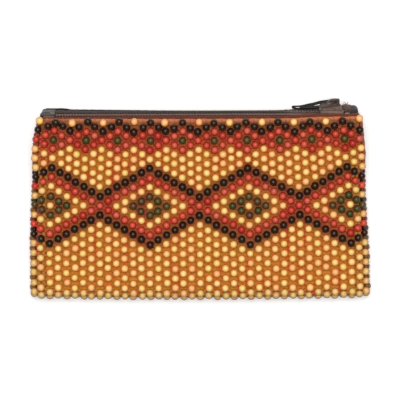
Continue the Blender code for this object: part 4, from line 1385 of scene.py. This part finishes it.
def shape_pull(pull):
    """Plates over most of its slot. Broader and thinner than the solid, hanging a little askew
    on its bar, bowed, its tip bent up."""
    spots = [vertex.co - PIVOT for vertex in pull.data.vertices]
    far = [spot for spot in spots if spot.length > TIP_START]
    along = sum(far, Vector()) / len(far)
    along = (along - ACROSS * along.dot(ACROSS)).normalized()
    axes = Matrix((along, ACROSS, along.cross(ACROSS))).transposed()
    for outline in PULL_PLATES:
        faces = [[PIVOT + axes @ Vector((*corner, up)) for corner in outline]
                 for up in (-PLATE_RISE, PLATE_RISE)]
        plate = prism("pull_plate", *faces, BLACKENED)
        plate.data.attributes.new("edge", "FLOAT", "POINT")
        choose(plate, pull)
        bpy.ops.object.join()
    with edited(pull) as mesh:
        for cut in PULL_CUTS:
            bmesh.ops.bisect_plane(
                mesh, geom=mesh.verts[:] + mesh.edges[:] + mesh.faces[:],
                plane_co=PIVOT + axes @ Vector((cut, 0, 0)), plane_no=axes.col[0])
    askew = axes @ Matrix.Rotation(PULL_TWIST, 3, "X")
    wear = pull.data.attributes["edge"].data
    for vertex in pull.data.vertices:
        spot = axes.transposed() @ (vertex.co - PIVOT)
        # Painted highlight: the near half of the neck, which faces the lamp, gets the full edge
        # value, so that rail renders lighter.
        if spot.x < NECK_END and spot.y < 0:
            wear[vertex.index].value = 1.0
        spot.y *= breadth_at(spot.x)
        if spot.x > BAR_REACH:
            spot.z *= PULL_THINNESS
        spot.z += PULL_BOW * between(spot.x, *PULL_BOW_AT)
        spot.z -= TIP_BEND * between(spot.x, TIP_START, PULL_END)
        vertex.co = PIVOT + askew @ spot


def slider_block(name, outline, half_width, finish, wear):
    """A block on the slider, over an outline of (x, z) in the slider's own place."""
    piece = prism(name, *[[SLIDER_PLACE @ Vector((x, across, z)) for x, z in outline]
                          for across in (-half_width, half_width)], finish)
    with_modifier(piece, "BEVEL", width=BLOCK_BEVEL, **METAL_BEVEL)
    values_on(piece, "edge", [wear] * len(piece.data.vertices))
    return placed(piece, "slider", "dark_bronze")


slider = dressed_metal("slider_body", "zip_slider", "slider", BRONZE, 0.00016, 1.0)
# Faces above the top plate take the darker copy of the bronze: painted shade on the slider's top.
slider.data.materials.append(TOP_SHADE_BRONZE)
from_slider = SLIDER_PLACE.inverted()
for polygon in slider.data.polygons:
    if (from_slider @ polygon.center).z > PLATE_TOP:
        polygon.material_index = 1
shape_pull(dressed_metal("slider_pull", "zip_pull", "pull", BLACKENED, 0.00015, 0.3))
# The lock takes a lighter copy of the bronze: painted light on a block in shade.
lock = slider_block("bridge_lock", LOCK_OUTLINE, LOCK_HALF_WIDTH, SHADE_LIFTED_BRONZE, 0.3)
choose()
bpy.ops.mesh.primitive_cylinder_add(
    vertices=24, radius=LOCK_HOLE, depth=4 * LOCK_HALF_WIDTH, location=PIVOT,
    rotation=ACROSS.to_track_quat("Z", "Y").to_euler())
cutter = bpy.context.object
with_modifier(lock, "BOOLEAN", operation="DIFFERENCE", object=cutter, solver="EXACT")
bpy.data.objects.remove(cutter)
# The bridge base takes a lighter copy of the bronze: painted light.
slider_block("bridge_base", BASE_OUTLINE, BASE_HALF_WIDTH, LIT_BRONZE, 0.5)
for node_name, name, finish in (("front_top_stop", "front_stop_clip", CLIP),
                                ("back_top_stop", "back_stop_clip", CLIP),
                                ("bottom_stop", "bottom_stop_clip", BRONZE)):
    dressed_metal(node_name, name, "purse", finish, 0.00006, 1.0)


# ---- Floor, lamps and background ----
FLOOR_LIFT = 0.3
SKY_STRENGTH = 0.25
LAMP_TINT = (1.0, 0.98, 0.96)

choose()
bpy.ops.mesh.primitive_plane_add(size=6.0)
ground = bpy.context.object
ground.name = "floor"
floor_material, tree, shader = new_material("pale_floor")
paths = node(tree, "LightPath")
seen = sums(tree, "MAXIMUM", paths["Is Camera Ray"],
            sums(tree, "MAXIMUM", paths["Is Glossy Ray"], paths["Is Transmission Ray"]))
fill(tree, shader, {
    "Base Color": [232, 232, 232], "Roughness": 0.9, "Specular IOR Level": 0.0,
    "Emission Color": (1, 1, 1, 1), "Emission Strength": sums(tree, "MULTIPLY", seen, FLOOR_LIFT)})
ground.data.materials.append(floor_material)

world = bpy.data.worlds.new("studio")
scene.world = world
world.use_nodes = True
fill(world.node_tree, world.node_tree.nodes["Background"].inputs,
     {"Color": (1, 1, 1, 1), "Strength": SKY_STRENGTH})


def soft_lamp(name, location, size, power):
    """A square lamp that faces the purse."""
    lamp = bpy.data.lights.new(name, "AREA")
    lamp.shape = "SQUARE"
    lamp.size = size
    lamp.energy = power
    lamp.color = LAMP_TINT
    holder = bpy.data.objects.new(name, lamp)
    holder.location = location
    holder.rotation_euler = (-Vector(location)).to_track_quat("-Z", "Y").to_euler()
    scene.collection.objects.link(holder)


soft_lamp("overhead_lamp", (0.0, 0.15, 1.5), 1.15, 21.6)
soft_lamp("side_lamp", (-0.1, 0.7, 0.9), 0.8, 1.1)
